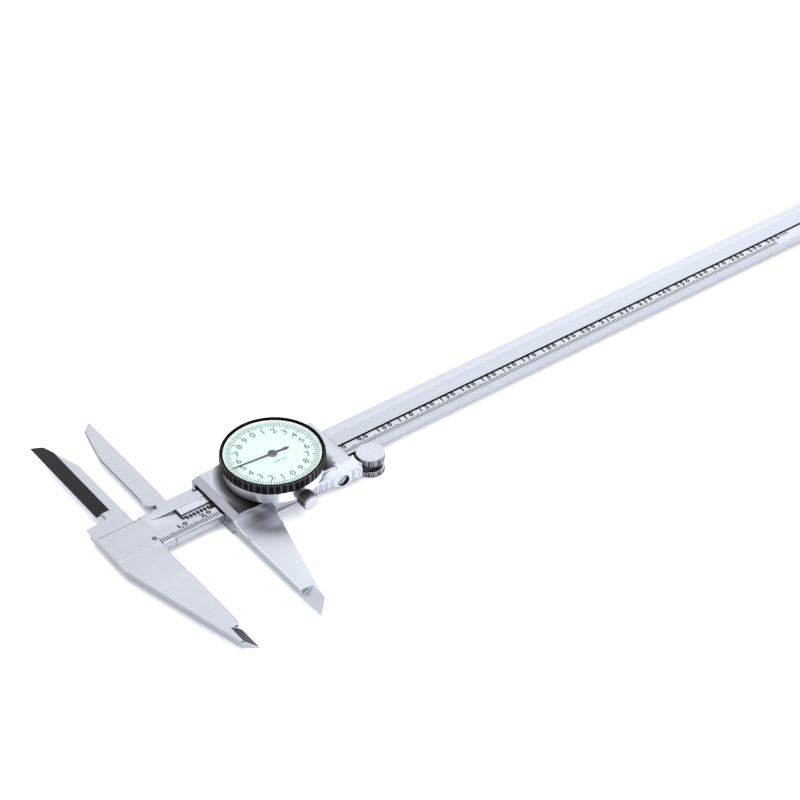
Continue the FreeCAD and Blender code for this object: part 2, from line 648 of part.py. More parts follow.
def make_arm():
    top = SLIDER_RISE - ARM_STEP
    bottom = BEAM_BACK
    end = ROLLER_X - AXLE_RADIUS
    outline = [
        (SLIDE_X + ARM_START, -WALL_LOW + 1),
        (SLIDE_X + ARM_START, arm_outer_y(ARM_START)),
        (SLIDE_X + end, arm_outer_y(end)),
        (SLIDE_X + end, -ARM_BEAM_GAP),
        (SLIDER_END - ARM_INSET, -ARM_BEAM_GAP),
        (SLIDER_END - ARM_INSET, -WALL_LOW + 1),
    ]
    arm = prism(outline, bottom, top)
    arm = arm.cut(disc(ROLLER_RADIUS + ROLLER_CLEAR, bottom - 1, top + 1, ROLLER_CX, ROLLER_CY))
    tongue_top = ROLLER_RISE - ROLLER_RIM - TONGUE_GAP
    tongue_low = ROLLER_LOW_RIM - ROLLER_DROP + TONGUE_GAP
    tongue = disc(TONGUE_RADIUS, tongue_low, tongue_top, ROLLER_CX, ROLLER_CY)
    neck_x = ROLLER_CX - ROLLER_RADIUS - ROLLER_CLEAR - TONGUE_OVERLAP
    neck = prism(
        [
            (neck_x, ROLLER_CY + TONGUE_RADIUS * TONGUE_ROOT),
            (neck_x, ROLLER_CY - TONGUE_RADIUS * TONGUE_ROOT),
            (ROLLER_CX, ROLLER_CY - TONGUE_RADIUS),
            (ROLLER_CX, ROLLER_CY + TONGUE_RADIUS),
        ],
        tongue_low,
        tongue_top,
    )
    arm = arm.fuse([tongue, neck])
    arm = arm.cut(disc(AXLE_RADIUS + AXLE_GAP, bottom - 1, top + 1, ROLLER_CX, ROLLER_CY))
    boss = rod_y(TENSION_BOSS, -BIG, TENSION_BOSS_Y, SLIDE_X + TENSION_X, TENSION_RISE)
    arm = arm.fuse(boss.common(prism(outline, -BIG, top)))
    # grip flutes, left out where the tension screw sits
    x = ARM_START + GRIP_START
    while x < ROLLER_X - ROLLER_RADIUS - GRIP_END:
        if abs(x - TENSION_X) > TENSION_BOSS + GRIP_RADIUS:
            y = arm_outer_y(x) - GRIP_RADIUS + GRIP_DEPTH
            arm = arm.cut(disc(GRIP_RADIUS, bottom - 1, top + 1, SLIDE_X + x, y))
        x += GRIP_PITCH
    floor = arm_outer_y(TENSION_X) + TENSION_SINK + TENSION_THICK
    return arm.cut(rod_y(TENSION_RADIUS + SCREW_GAP, -BIG, floor, SLIDE_X + TENSION_X, TENSION_RISE))


def make_slider():
    top = BEAM_WIDTH + WALL_HIGH
    body = box(SLIDE_X, SLIDER_END, -WALL_LOW, top, BACK_Z, SLIDER_RISE)
    body = body.fuse([make_outside_jaw(), make_flare(), make_arm()])
    # channel for the beam and the gib, with more room under the left end's chamfer
    body = body.cut(box(SLIDE_X - 1, SLIDER_END + 1, -RUN_GAP, WALL_INNER, BACK_Z - 1, RUN_GAP))
    body = body.cut(box(SLIDE_X - 1, SLIDE_X + END_CHAMFER, -RUN_GAP, WALL_INNER, -0.1, END_RELIEF))
    chamfer = [
        (SLIDE_X - 1, END_LIP - (SLIDER_RISE - END_LIP) / END_CHAMFER),
        (SLIDE_X + END_CHAMFER, SLIDER_RISE),
        (SLIDE_X + END_CHAMFER, SLIDER_RISE + 3),
        (SLIDE_X - 1, SLIDER_RISE + 3),
    ]
    body = body.cut(prism_along_y(chamfer, -WALL_LOW - 1.5, top + 1))
    body = body.fuse(make_inside_jaw())
    # seat of the rack pinion's bush, and tapped holes for the screws
    body = body.cut(disc(BUSH_RADIUS, -1, SEAM + 1, DRIVE_X, SLOT_Y))
    for x in gib_screw_places():
        body = body.cut(rod_y(GIB_SCREW_RADIUS + SCREW_GAP, BEAM_WIDTH, top + 1, x, UPPER_WALL_MID_Z))
    x = SLIDE_X + SLIDER_LOCK_X
    body = body.cut(rod_y(SHANK_RADIUS + SCREW_GAP, BEAM_WIDTH, top + 1, x, UPPER_WALL_MID_Z))
    tip = BACK_Z + BACK_SCREW_DEPTH + 0.5
    for x, y in back_screw_places():
        body = body.cut(disc(BACK_SCREW_RADIUS + SCREW_GAP, BACK_Z - 1, tip, x, y))
    return body.removeSplitter()


def gib_screw_places():
    return [SLIDE_X + GIB_SCREW_INSET, SLIDER_END - GIB_SCREW_INSET]


def back_screw_places():
    xs = (SLIDE_X + BACK_SCREW_INSET, SLIDER_END - BACK_SCREW_INSET)
    ys = (-WALL_LOW / 2, (WALL_INNER + BEAM_WIDTH + WALL_HIGH) / 2)
    return [(x, y) for x in xs for y in ys]


def make_gib():
    low = BEAM_WIDTH + GIB_GAP
    return box(SLIDE_X + GIB_INSET, SLIDER_END - 0.5, low, low + GIB_THICK, BACK_Z + 0.02, -0.1)


def make_gib_screws():
    screws = []
    tip = BEAM_WIDTH + GIB_GAP + GIB_THICK
    top = BEAM_WIDTH + WALL_HIGH - GIB_SCREW_DEPTH
    half = DRIVE_SLOT / 2
    for x in gib_screw_places():
        screw = rod_y(GIB_SCREW_RADIUS, tip, top, x, UPPER_WALL_MID_Z)
        slot = box(x - 2, x + 2, top - DRIVE_SLOT, top + 1, UPPER_WALL_MID_Z - half, UPPER_WALL_MID_Z + half)
        screws.append(screw.cut(slot))
    return Part.makeCompound(screws)


def make_back_plate():
    plate = box(SLIDE_X, SLIDER_END, -WALL_LOW - BACK_LIP, BEAM_WIDTH + WALL_HIGH, BACK_BOTTOM, BACK_Z)
    edges = [e for e in plate.Edges if abs(e.CenterOfMass.z - BACK_BOTTOM) < 1e-6]
    plate = plate.makeChamfer(BACK_CHAMFER, edges)
    for x, y in back_screw_places():
        plate = plate.cut(disc(BACK_SCREW_RADIUS + SCREW_GAP, BACK_BOTTOM - 1, BACK_Z + 1, x, y))
    return plate


def make_back_screws():
    """Slotted screws that end flush with the plate's back."""
    screws = []
    half = BACK_SCREW_SLOT / 2
    for x, y in back_screw_places():
        screw = disc(BACK_SCREW_RADIUS, BACK_BOTTOM, BACK_Z + BACK_SCREW_DEPTH, x, y)
        slot = box(x - 2, x + 2, y - half, y + half, BACK_BOTTOM - 1, BACK_BOTTOM + BACK_SCREW_SLOT)
        screws.append(screw.cut(slot))
    return Part.makeCompound(screws)


def make_depth_rod():
    half = ROD_WIDTH / 2
    rod = box(rod_left(), ROD_TIP, BEAM_MID_Y - half, BEAM_MID_Y + half, BACK_Z, BACK_Z + ROD_THICK)
    return rod.cut(box(ROD_TIP - ROD_TIP_CUT, BIG, BEAM_MID_Y, BEAM_WIDTH, BEAM_BACK - 1, 0))


def make_wheel(low, high):
    """Knurled disc of the thumb roller."""
    rim = fluted_face(ROLLER_RADIUS, ROLLER_FLUTE_DEPTH, ROLLER_FLUTES, 0.5, ROLLER_CX, ROLLER_CY, low)
    return rim.extrude(FreeCAD.Vector(0, 0, high - low))


def make_upper_wheel():
    """Upper disc with a shallow turned dish on top and a blind bore for the axle."""
    low = ROLLER_RISE - ROLLER_RIM
    wheel = make_wheel(low, ROLLER_RISE)
    rim = ROLLER_RADIUS - DISH_MARGIN
    profile = [(0, ROLLER_RISE - DISH_DEPTH), (rim, ROLLER_RISE), (rim, BIG), (0, BIG)]
    dish = lathe(profile, ROLLER_CX, ROLLER_CY)
    return wheel.cut([dish, disc(AXLE_RADIUS, low - 1, low + AXLE_SINK, ROLLER_CX, ROLLER_CY)])


def make_lower_wheel():
    high = ROLLER_LOW_RIM - ROLLER_DROP
    wheel = make_wheel(-ROLLER_DROP, high)
    return wheel.cut(disc(AXLE_RADIUS, -ROLLER_DROP - 1, high + 1, ROLLER_CX, ROLLER_CY))


def make_roller_axle():
    low = -ROLLER_DROP
    x, y = ROLLER_CX, ROLLER_CY
    axle = disc(AXLE_RADIUS, low, ROLLER_RISE - ROLLER_RIM + AXLE_SINK, x, y)
    half = DRIVE_SLOT / 2
    return axle.cut(box(x - 3, x + 3, y - half, y + half, low - 1, low + DRIVE_SLOT))


def make_tension_screw():
    face = arm_outer_y(TENSION_X) + TENSION_SINK
    x = SLIDE_X + TENSION_X
    screw = rod_y(TENSION_RADIUS, face, face + TENSION_THICK, x, TENSION_RISE)
    slot = box(-3, 3, face - 1, face + 0.6, -DRIVE_SLOT / 2, DRIVE_SLOT / 2)
    slot.rotate(FreeCAD.Vector(0, 0, 0), FreeCAD.Vector(0, 1, 0), TENSION_SLOT_TURN)
    slot.translate(FreeCAD.Vector(x, 0, TENSION_RISE))
    return screw.cut(slot)


def make_dial_case():
    inner = CASE_BORE
    top = CASE_TOP + NECK_HEIGHT
    profile = [
        (0, SEAM), (CASE_RADIUS, SEAM), (CASE_RADIUS, CASE_TOP), (NECK_OUTER, CASE_TOP),
        (NECK_OUTER, top), (inner, top), (inner, FLOOR_Z), (0, FLOOR_Z),
    ]
    case = lathe(profile, DIAL_CX, DIAL_Y)
    case = case.cut(disc(BUSH_RADIUS, SEAM - 1, FLOOR_Z + 1, DRIVE_X, SLOT_Y))
    near = DIAL_Y - CASE_RADIUS - 1
    return case.cut(rod_y(SHANK_RADIUS + SCREW_GAP, near, DIAL_Y - inner + 1, DIAL_CX, BEZEL_LOCK_RISE))


def make_pinion_bush():
    bush = disc(BUSH_RADIUS, RUN_GAP, FLOOR_Z, DRIVE_X, SLOT_Y)
    return bush.cut(disc(ARBOR_RADIUS + PIVOT_GAP, -1, FLOOR_Z + 1, DRIVE_X, SLOT_Y))


def arbor_places():
    return ((DRIVE_X, SLOT_Y), (DIAL_CX, DIAL_Y), (SPRING_X, SPRING_Y))


def pillar_places():
    return [(DIAL_CX, DIAL_Y - PILLAR_REACH), (DIAL_CX, DIAL_Y + PILLAR_REACH)]


def make_movement_plate():
    corners = [
        (PLATE_HALF_X, PLATE_HALF_Y - PLATE_CORNER), (PLATE_HALF_X - PLATE_CORNER, PLATE_HALF_Y),
        (PLATE_CORNER - PLATE_HALF_X, PLATE_HALF_Y), (-PLATE_HALF_X, PLATE_HALF_Y - PLATE_CORNER),
        (-PLATE_HALF_X, PLATE_CORNER - PLATE_HALF_Y), (PLATE_CORNER - PLATE_HALF_X, -PLATE_HALF_Y),
        (PLATE_HALF_X - PLATE_CORNER, -PLATE_HALF_Y), (PLATE_HALF_X, PLATE_CORNER - PLATE_HALF_Y),
    ]
    plate = prism([(DIAL_CX + x, DIAL_Y + y) for x, y in corners], FLOOR_Z, PLATE_Z)
    plate = plate.cut(disc(ARBOR_RADIUS + PIVOT_GAP, 0, PLATE_Z + 1, DRIVE_X, SLOT_Y))
    for x, y in arbor_places()[1:]:
        plate = plate.cut(disc(PIVOT_RADIUS + PIVOT_GAP, 0, PLATE_Z + 1, x, y))
    return plate


def make_movement_bridge():
    top = BRIDGE_Z + BRIDGE_THICK
    reach_x = WHEEL_DISTANCE + BRIDGE_HALF
    reach_y = PILLAR_REACH + BRIDGE_HALF
    x, y = DIAL_CX, DIAL_Y
    bar = box(x - reach_x, x + reach_x, y - BRIDGE_HALF, y + BRIDGE_HALF, BRIDGE_Z, top)
    cross = box(x - BRIDGE_HALF, x + BRIDGE_HALF, y - reach_y, y + reach_y, BRIDGE_Z, top)
    bridge = join(bar, cross)
    for x, y in arbor_places():
        bridge = bridge.cut(disc(PIVOT_RADIUS + PIVOT_GAP, 0, top + 1, x, y))
    return bridge


def make_pillars():
    return Part.makeCompound([disc(PILLAR_RADIUS, PLATE_Z, BRIDGE_Z, x, y) for x, y in pillar_places()])


def drive_phase():
    """Angle of one rack pinion tooth: with the pinion over a rack gap it points to the rack."""
    return math.pi / 2 + (DRIVE_X - rack_gap_x()) / RACK_PINION_RADIUS


def centre_phase():
    direction = math.atan2(DIAL_Y - SLOT_Y, DIAL_CX - DRIVE_X)
    return meshed_phase(drive_phase(), WHEEL_TEETH, CENTRE_TEETH, direction)


def spring_phase():
    direction = math.atan2(SPRING_Y - DIAL_Y, SPRING_X - DIAL_CX)
    return meshed_phase(centre_phase(), CENTRE_TEETH, WHEEL_TEETH, direction)


def make_rack_pinion():
    tooth_low = GROOVE_FLOOR + 0.1
    tooth_high = -LIP_THICK - 0.1
    x, y = DRIVE_X, SLOT_Y
    module = RACK_PITCH / math.pi
    teeth = gear(RACK_PINION_TEETH, module, BACKLASH, drive_phase(), tooth_low, tooth_high, x, y)
    shoulder = RUN_GAP + 0.3
    neck = disc(SLOT_ARBOR_RADIUS, tooth_low, shoulder, x, y)
    body = disc(ARBOR_RADIUS, shoulder, WHEEL_Z, x, y)
    pivot = disc(PIVOT_RADIUS, WHEEL_Z, BRIDGE_Z + BRIDGE_THICK, x, y)
    return join(teeth, neck, body, pivot)


def make_drive_wheel():
    x, y = DRIVE_X, SLOT_Y
    top = WHEEL_Z + WHEEL_THICK
    wheel = gear(WHEEL_TEETH, WHEEL_MODULE, WHEEL_BACKLASH, drive_phase(), WHEEL_Z, top, x, y)
    return wheel.cut(disc(PIVOT_RADIUS, WHEEL_Z - 1, top + 1, x, y))


def make_centre_pinion():
    x, y = DIAL_CX, DIAL_Y
    low = WHEEL_Z - CENTRE_OVERHANG
    high = WHEEL_Z + WHEEL_THICK + CENTRE_OVERHANG
    teeth = gear(CENTRE_TEETH, WHEEL_MODULE, WHEEL_BACKLASH, centre_phase(), low, high, x, y)
    foot = disc(PIVOT_RADIUS, FLOOR_Z + 0.05, WHEEL_Z, x, y)
    stem = disc(PIVOT_RADIUS, WHEEL_Z, DIAL_TOP + POINTER_RISE + POINTER_THICK, x, y)
    return join(teeth, foot, stem)


def make_spring_wheel():
    x, y = SPRING_X, SPRING_Y
    top = WHEEL_Z + WHEEL_THICK
    wheel = gear(WHEEL_TEETH, WHEEL_MODULE, WHEEL_BACKLASH, spring_phase(), WHEEL_Z, top, x, y)
    stem = disc(PIVOT_RADIUS, FLOOR_Z + 0.05, BRIDGE_Z + BRIDGE_THICK, x, y)
    collar = disc(ARBOR_RADIUS, WHEEL_Z, BRIDGE_Z - 0.1, x, y)
    return join(wheel, stem, collar)


def make_hairspring():
    """Flat spiral of half turns, each wider than the last, hung from the bridge by a stud."""
    edges = {}
    for side in (-1, 1):
        cx, cy = SPRING_X, SPRING_Y
        radius = SPRING_INNER
        sign = 1
        edges[side] = []
        for _ in range(SPRING_HALF_TURNS):
            r = radius + side * SPRING_THICK / 2
            ends = [FreeCAD.Vector(cx + sign * r, cy, 0), FreeCAD.Vector(cx - sign * r, cy, 0)]
            middle = FreeCAD.Vector(cx, cy + sign * r, 0)
            edges[side].append(Part.Arc(ends[0], middle, ends[1]).toShape())
            cx += sign * SPRING_STEP
            radius += SPRING_STEP
            sign = -sign
    start = Part.makeLine(edges[-1][0].Vertexes[0].Point, edges[1][0].Vertexes[0].Point)
    tip = edges[-1][-1].Vertexes[-1].Point
    finish = Part.makeLine(tip, edges[1][-1].Vertexes[-1].Point)
    wire = Part.Wire(Part.__sortEdges__([start] + edges[1] + [finish] + edges[-1]))
    low = WHEEL_Z + WHEEL_THICK + SPRING_LIFT
    spring = Part.Face(wire).extrude(FreeCAD.Vector(0, 0, SPRING_HEIGHT))
    spring.translate(FreeCAD.Vector(0, 0, low))
    return spring.fuse(disc(STUD_RADIUS, low, BRIDGE_Z, tip.x, tip.y))


def make_bezel():
    x, y = DIAL_CX, DIAL_Y
    rim = fluted_face(BEZEL_RADIUS, BEZEL_FLUTE_DEPTH, BEZEL_FLUTES, 0.7, x, y, BEZEL_Z)
    ring = rim.extrude(FreeCAD.Vector(0, 0, BEZEL_HEIGHT))
    bore = disc(BEZEL_BORE, BEZEL_Z - 1, LEDGE_Z, x, y)
    window = disc(WINDOW_RADIUS, LEDGE_Z, BEZEL_TOP + 1, x, y)
    return ring.cut([bore, window])


def make_dial_face():
    face = disc(WINDOW_RADIUS - WINDOW_GAP, LEDGE_Z, DIAL_TOP, DIAL_CX, DIAL_Y)
    return face.cut(disc(PIVOT_RADIUS + 0.5, LEDGE_Z - 1, DIAL_TOP + 1, DIAL_CX, DIAL_Y))


def make_crystal():
    return disc(WINDOW_RADIUS - WINDOW_GAP, CRYSTAL_TOP - CRYSTAL_THICK, CRYSTAL_TOP, DIAL_CX, DIAL_Y)


def make_pointer():
    """Hand with a tapered point and a short spade tail, set to the reading at this opening."""
    low = DIAL_TOP + POINTER_RISE
    spade = POINTER_TAIL * 0.6
    shoulder = POINTER_TAIL * 0.78
    hand = prism(
        [
            (-0.32, 0), (-0.1, POINTER_LENGTH), (0.1, POINTER_LENGTH), (0.32, 0), (0.32, -spade),
            (SPADE_HALF, -shoulder), (0, -POINTER_TAIL), (-SPADE_HALF, -shoulder), (-0.32, -spade),
        ],
        low,
        low + POINTER_THICK,
    )
    hub = disc(POINTER_HUB, low, low + POINTER_THICK, 0, 0)
    hand = hand.fuse(hub).removeSplitter().cut(disc(PIVOT_RADIUS, low - 1, low + 1, 0, 0))
    reading = (OPENING % MM_PER_TURN) / MM_PER_TURN * 360
    hand.rotate(FreeCAD.Vector(0, 0, 0), FreeCAD.Vector(0, 0, 1), -reading)
    hand.translate(FreeCAD.Vector(DIAL_CX, DIAL_Y, 0))
    return hand


def knurled_knob(x, z, y_near, direction):
    """Knurled cylinder along Y from y_near, with a raised far end; direction is -1 or +1."""
    length = KNOB_LENGTH - KNOB_DOME
    face = fluted_face(KNOB_RADIUS, KNOB_FLUTE_DEPTH, KNOB_FLUTES, 0.5, 0, 0, 0)
    barrel = face.extrude(FreeCAD.Vector(0, 0, length))
    rim = KNOB_RADIUS - 2 * KNOB_FLUTE_DEPTH
    end = Part.makeCone(rim, rim - KNOB_END_SHRINK, KNOB_DOME, FreeCAD.Vector(0, 0, length))
    knob = barrel.fuse(end)
    turn = FreeCAD.Rotation(FreeCAD.Vector(0, 0, 1), FreeCAD.Vector(0, direction, 0))
    knob.Placement = FreeCAD.Placement(FreeCAD.Vector(x, y_near, z), turn)
    return knob


def make_bezel_lock_screw():
    z = BEZEL_LOCK_RISE
    knob = knurled_knob(DIAL_CX, z, KNOB_Y, -1)
    inner = DIAL_Y - CASE_BORE
    shank = rod_y(SHANK_RADIUS, KNOB_Y - 0.1, inner - 0.1, DIAL_CX, z)
    return knob.fuse(shank)


def make_slider_lock_screw():
    near = BEAM_WIDTH + WALL_HIGH + 0.4
    x = SLIDE_X + SLIDER_LOCK_X
    knob = knurled_knob(x, UPPER_WALL_MID_Z, near, 1)
    tip = BEAM_WIDTH + GIB_GAP + GIB_THICK + 0.02
    shank = rod_y(SHANK_RADIUS, tip, near + 0.1, x, UPPER_WALL_MID_Z)
    return knob.fuse(shank)


NODES = {
    "beam": make_beam,
    "rack": make_rack,
    "rack_cover": make_rack_cover,
    "end_stop": make_end_stop,
    "end_stop_screws": make_stop_screws,
    "slider": make_slider,
    "gib": make_gib,
    "gib_screws": make_gib_screws,
    "back_plate": make_back_plate,
    "back_plate_screws": make_back_screws,
    "depth_rod": make_depth_rod,
    "roller_upper_wheel": make_upper_wheel,
    "roller_lower_wheel": make_lower_wheel,
    "roller_axle": make_roller_axle,
    "roller_tension_screw": make_tension_screw,
    "dial_case": make_dial_case,
    "pinion_bush": make_pinion_bush,
    "movement_plate": make_movement_plate,
    "movement_bridge": make_movement_bridge,
    "movement_pillars": make_pillars,
    "rack_pinion": make_rack_pinion,
    "drive_wheel": make_drive_wheel,
    "centre_pinion": make_centre_pinion,
    "spring_wheel": make_spring_wheel,
    "hairspring": make_hairspring,
    "bezel": make_bezel,
    "dial_face": make_dial_face,
    "crystal": make_crystal,
    "pointer": make_pointer,
    "bezel_lock_screw": make_bezel_lock_screw,
    "slider_lock_screw": make_slider_lock_screw,
}


def home():
    """Vector that brings the bounding box's bottom middle to the origin."""
    x = (ROD_TIP - HEAD_REACH) / 2
    y = (BLADE_TOP - JAW_DEPTH) / 2
    return FreeCAD.Vector(-x, -y, -BACK_BOTTOM)


def main():
    os.makedirs("parts", exist_ok=True)
    move = home()
    for name, make in NODES.items():
        shape = make()
        shape.translate(move)
        shape.exportStep("parts/" + name + ".step")


if __name__ == "__main__":
    main()
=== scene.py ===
"""Looks of a 300 mm dial caliper: ground stainless steel, engraved scale, dial and knurled knobs."""

import math

import bmesh
import bpy
from bpy.props import FloatProperty, IntProperty, PointerProperty, StringProperty
from bpy.types import Operator, Panel, PropertyGroup
from mathutils import Matrix, Vector


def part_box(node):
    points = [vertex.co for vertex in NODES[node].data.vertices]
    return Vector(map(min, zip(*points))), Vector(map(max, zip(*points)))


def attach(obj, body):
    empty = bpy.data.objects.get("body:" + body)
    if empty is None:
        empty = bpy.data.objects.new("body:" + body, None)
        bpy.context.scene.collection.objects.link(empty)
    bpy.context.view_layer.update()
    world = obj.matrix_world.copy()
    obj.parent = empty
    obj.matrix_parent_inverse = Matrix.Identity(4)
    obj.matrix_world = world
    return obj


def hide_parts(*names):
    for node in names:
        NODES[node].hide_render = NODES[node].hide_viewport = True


bl_info = {
    "name": "Dial caliper",
    "version": (1, 0, 0),
    "blender": (4, 5, 0),
    "location": "View3D > Sidebar > Caliper",
    "description": "Engraving, dial, knobs, finishes and studio for a long dial caliper",
    "category": "Object",
}

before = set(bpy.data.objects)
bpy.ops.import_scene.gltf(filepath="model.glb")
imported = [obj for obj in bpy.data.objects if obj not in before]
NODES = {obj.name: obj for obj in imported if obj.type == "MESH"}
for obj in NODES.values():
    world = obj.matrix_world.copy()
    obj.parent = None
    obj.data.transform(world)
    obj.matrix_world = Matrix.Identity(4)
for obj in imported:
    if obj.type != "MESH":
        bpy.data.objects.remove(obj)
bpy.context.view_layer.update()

MM = 0.001
# The working point is the scale's zero on the beam's lower front edge. The lowest corner of the
# beam's box is this far from it, in millimetres.
HEAD_REACH = 18.2
JAW_DEPTH = 60.5
BEAM_THICK = 3.4

DIGIT_PITCH = 2.7  # between the digits of one number on the beam, in millimetres
DIAL_EDGE = 17.3  # outer end of the dial's lines, in millimetres

# Places on the slider in millimetres from the working point.
RIDGE_Y = -5.0  # between the dial base and the sliding outside jaw
RAMP_FOOT_Y = -15.0  # where the hollow ramp below the ridge ends
RAMP_RADIUS = 30.0
FLARE_SPREAD = 4.9  # from the dial case to the flare's edge
JAW_SIDE_X = 42.4  # right side of the sliding jaw's root
ARM_TOP = 1.55
ARM_BOTTOM = -3.4
ARM_HEEL = (57.03, -7.3)  # the arm's front wall starts here and falls towards the roller
ARM_FALL = 3.0
ARM_RUN = 23.94
SAFE_Y = -14.0  # in front of everything on the arm


def working_zero():
    low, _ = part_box("beam")
    return low + Vector((HEAD_REACH, JAW_DEPTH, BEAM_THICK)) * MM


ZERO = working_zero()


def at(x, y, z):
    """Point of the frame for millimetres counted from the scale's zero."""
    return ZERO + Vector((x, y, z)) * MM


def middle_of(node):
    low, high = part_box(node)
    return (low + high) / 2


# Sizes and colours


class CaliperSizes(PropertyGroup):
    tick_width: FloatProperty(
        name="Line width", description="Width of the engraved lines", default=0.45 * MM,
        min=0.05 * MM, max=0.5 * MM, unit="LENGTH", precision=5,
    )
    tick_low: FloatProperty(
        name="Line start", description="Distance of the lines' ends from the beam's edge",
        default=1.0 * MM, min=0, max=3 * MM, unit="LENGTH", precision=5,
    )
    tick_short: FloatProperty(
        name="Short line", description="Length of a millimetre line", default=1.95 * MM,
        min=0.5 * MM, max=4 * MM, unit="LENGTH", precision=5,
    )
    tick_long: FloatProperty(
        name="Long line", description="Length of a five millimetre line", default=2.4 * MM,
        min=0.5 * MM, max=4 * MM, unit="LENGTH", precision=5,
    )
    tick_ten: FloatProperty(
        name="Ten line", description="Length of a ten millimetre line", default=3.4 * MM,
        min=0.5 * MM, max=4 * MM, unit="LENGTH", precision=5,
    )
    digit_height: FloatProperty(
        name="Digit height", description="Height of the beam's digits", default=2.0 * MM,
        min=0.5 * MM, max=3 * MM, unit="LENGTH", precision=5,
    )
    dial_digit: FloatProperty(
        name="Dial digit height", description="Height of the dial's digits", default=2.7 * MM,
        min=0.5 * MM, max=4 * MM, unit="LENGTH", precision=5,
    )
    dial_digit_radius: FloatProperty(
        name="Dial digit radius", description="Distance of the digits from the dial's middle",
        default=12.9 * MM, min=5 * MM, max=16 * MM, unit="LENGTH", precision=5,
    )
    bezel_ribs: IntProperty(
        name="Bezel ribs", description="Ribs round the bezel", default=50, min=20, max=120,
    )
    roller_ribs: IntProperty(
        name="Roller ribs", description="Ribs round a thumb roller disc", default=38, min=16, max=80,
    )
    knurl_lines: IntProperty(
        name="Knurl lines", description="Lines round a knurled knob", default=28, min=16, max=90,
    )


class CaliperFinishes(PropertyGroup):
    steel: StringProperty(name="Ground steel", description="Front faces, sRGB hex", default="CBCFD8")
    strip: StringProperty(name="Rack cover", description="Cover strip, sRGB hex", default="C2C6D0")
    case: StringProperty(name="Case", description="Turned dial case, sRGB hex", default="ECEEF4")
    roller: StringProperty(name="Roller", description="Roller faces, sRGB hex", default="CBCFD8")
    # This colour is painted shade on the roller discs' ribbed rims.
    roller_side: StringProperty(name="Roller rim", description="Roller ribs, sRGB hex", default="7E7F89")
    knurl: StringProperty(name="Knurled knob", description="Knob barrel, sRGB hex", default="92919A")
    # This colour is painted shade in the knurl grooves, the roller's rib floors, the tension screw's hole
    # and the tongue under the roller.
    groove: StringProperty(name="Knurl grooves", description="Shaded grooves, sRGB hex", default="2A292F")
    knob_end: StringProperty(name="Knob end", description="Turned end, sRGB hex", default="A5A6AD")
    bezel: StringProperty(name="Bezel", description="Ribbed bezel, sRGB hex", default="08070B")
    # This colour is a painted highlight on the floors between the bezel's ribs.
    flank: StringProperty(name="Bezel flanks", description="Floors between ribs, sRGB hex", default="26242B")
    dial: StringProperty(name="Dial", description="Dial face, sRGB hex", default="A8B6B0")
    rim: StringProperty(name="Spacer", description="Ring round the dial, sRGB hex", default="ECEDEE")
    dial_ink: StringProperty(name="Dial lines", description="Dial lines, sRGB hex", default="4E7267")
    digit_ink: StringProperty(name="Dial digits", description="Dial digits, sRGB hex", default="4A595F")
    hand: StringProperty(name="Pointer", description="Pointer, sRGB hex", default="1C2135")
    engraving: StringProperty(name="Engraving", description="Beam lines, sRGB hex", default="1E1E25")
    brass: StringProperty(name="Brass", description="Movement, sRGB hex", default="C9A663")
    spring: StringProperty(name="Blued steel", description="Hairspring, sRGB hex", default="3C4A70")
    floor: StringProperty(name="Floor", description="Studio floor, sRGB hex", default="FAFAFC")


def sizes():
    return bpy.context.scene.caliper_sizes


def finishes():
    return bpy.context.scene.caliper_finishes


# Materials


def linear(hex_colour):
    """sRGB hex to a linear colour."""
    channels = [int(hex_colour[i : i + 2], 16) / 255 for i in (0, 2, 4)]
    toned = [c / 12.92 if c <= 0.04045 else ((c + 0.055) / 1.055) ** 2.4 for c in channels]
    return (*toned, 1.0)


def add_node(tree, kind, settings=None, inputs=None, stops=()):
    """Adds a node, sets its properties, fills or links its inputs and places a ramp's stops."""
    node = tree.nodes.new(kind)
    for key, value in (settings or {}).items():
        setattr(node, key, value)
    for key, value in (inputs or {}).items():
        if isinstance(value, bpy.types.NodeSocket):
            tree.links.new(value, node.inputs[key])
        else:
            node.inputs[key].default_value = value
    for number, (place, colour) in enumerate(stops):
        marks = node.color_ramp.elements
        mark = marks[number] if number < 2 else marks.new(place)
        mark.position = place
        mark.color = colour
    return node


def blank_material(name):
    material = bpy.data.materials.new(name)
    material.use_nodes = True
    tree = material.node_tree
    tree.nodes.clear()
    shader = add_node(tree, "ShaderNodeBsdfPrincipled")
    add_node(tree, "ShaderNodeOutputMaterial", inputs={"Surface": shader.outputs["BSDF"]})
    return material, tree, shader


def shade(colour, factor):
    return (*[min(1.0, c * factor) for c in colour[:3]], 1.0)


def grey(tone):
    return (tone, tone, tone, 1.0)


def grinding_lines(tree, place, line_mm, run_mm, detail=3.0, crosswise=False):
    """Long streaks along X, or along Y when crosswise, as a grinding wheel leaves them."""
    scale = (1.0, line_mm / run_mm, 1.0) if crosswise else (line_mm / run_mm, 1.0, 1.0)
    stretch = add_node(
        tree, "ShaderNodeMapping",
        inputs={"Vector": place.outputs["Object"], "Scale": scale},
    )
    noise = add_node(
        tree, "ShaderNodeTexNoise",
        inputs={"Vector": stretch.outputs["Vector"], "Scale": 1 / (line_mm * MM), "Detail": detail},
    )
    return noise.outputs["Fac"]


def deepen(tree, shader, factor):
    """Multiplies a finish's tone by a factor that varies over the piece."""
    base = shader.inputs["Base Color"]
    tone = add_node(
        tree, "ShaderNodeMix", {"data_type": "RGBA", "blend_type": "MULTIPLY"},
        {0: 1.0, 6: base.links[0].from_socket, 7: factor},
    )
    tree.links.new(tone.outputs[2], base)


def gradient(tree, axis, start, end, low=0.0, high=1.0):
    """Value that changes along an axis of the frame between two places in metres."""
    place = add_node(tree, "ShaderNodeTexCoord")
    spot = add_node(tree, "ShaderNodeSeparateXYZ", inputs={"Vector": place.outputs["Object"]})
    level = add_node(
        tree, "ShaderNodeMapRange",
        inputs={"Value": spot.outputs[axis], "From Min": start, "From Max": end,
                "To Min": low, "To Max": high},
    )
    return level.outputs[0]


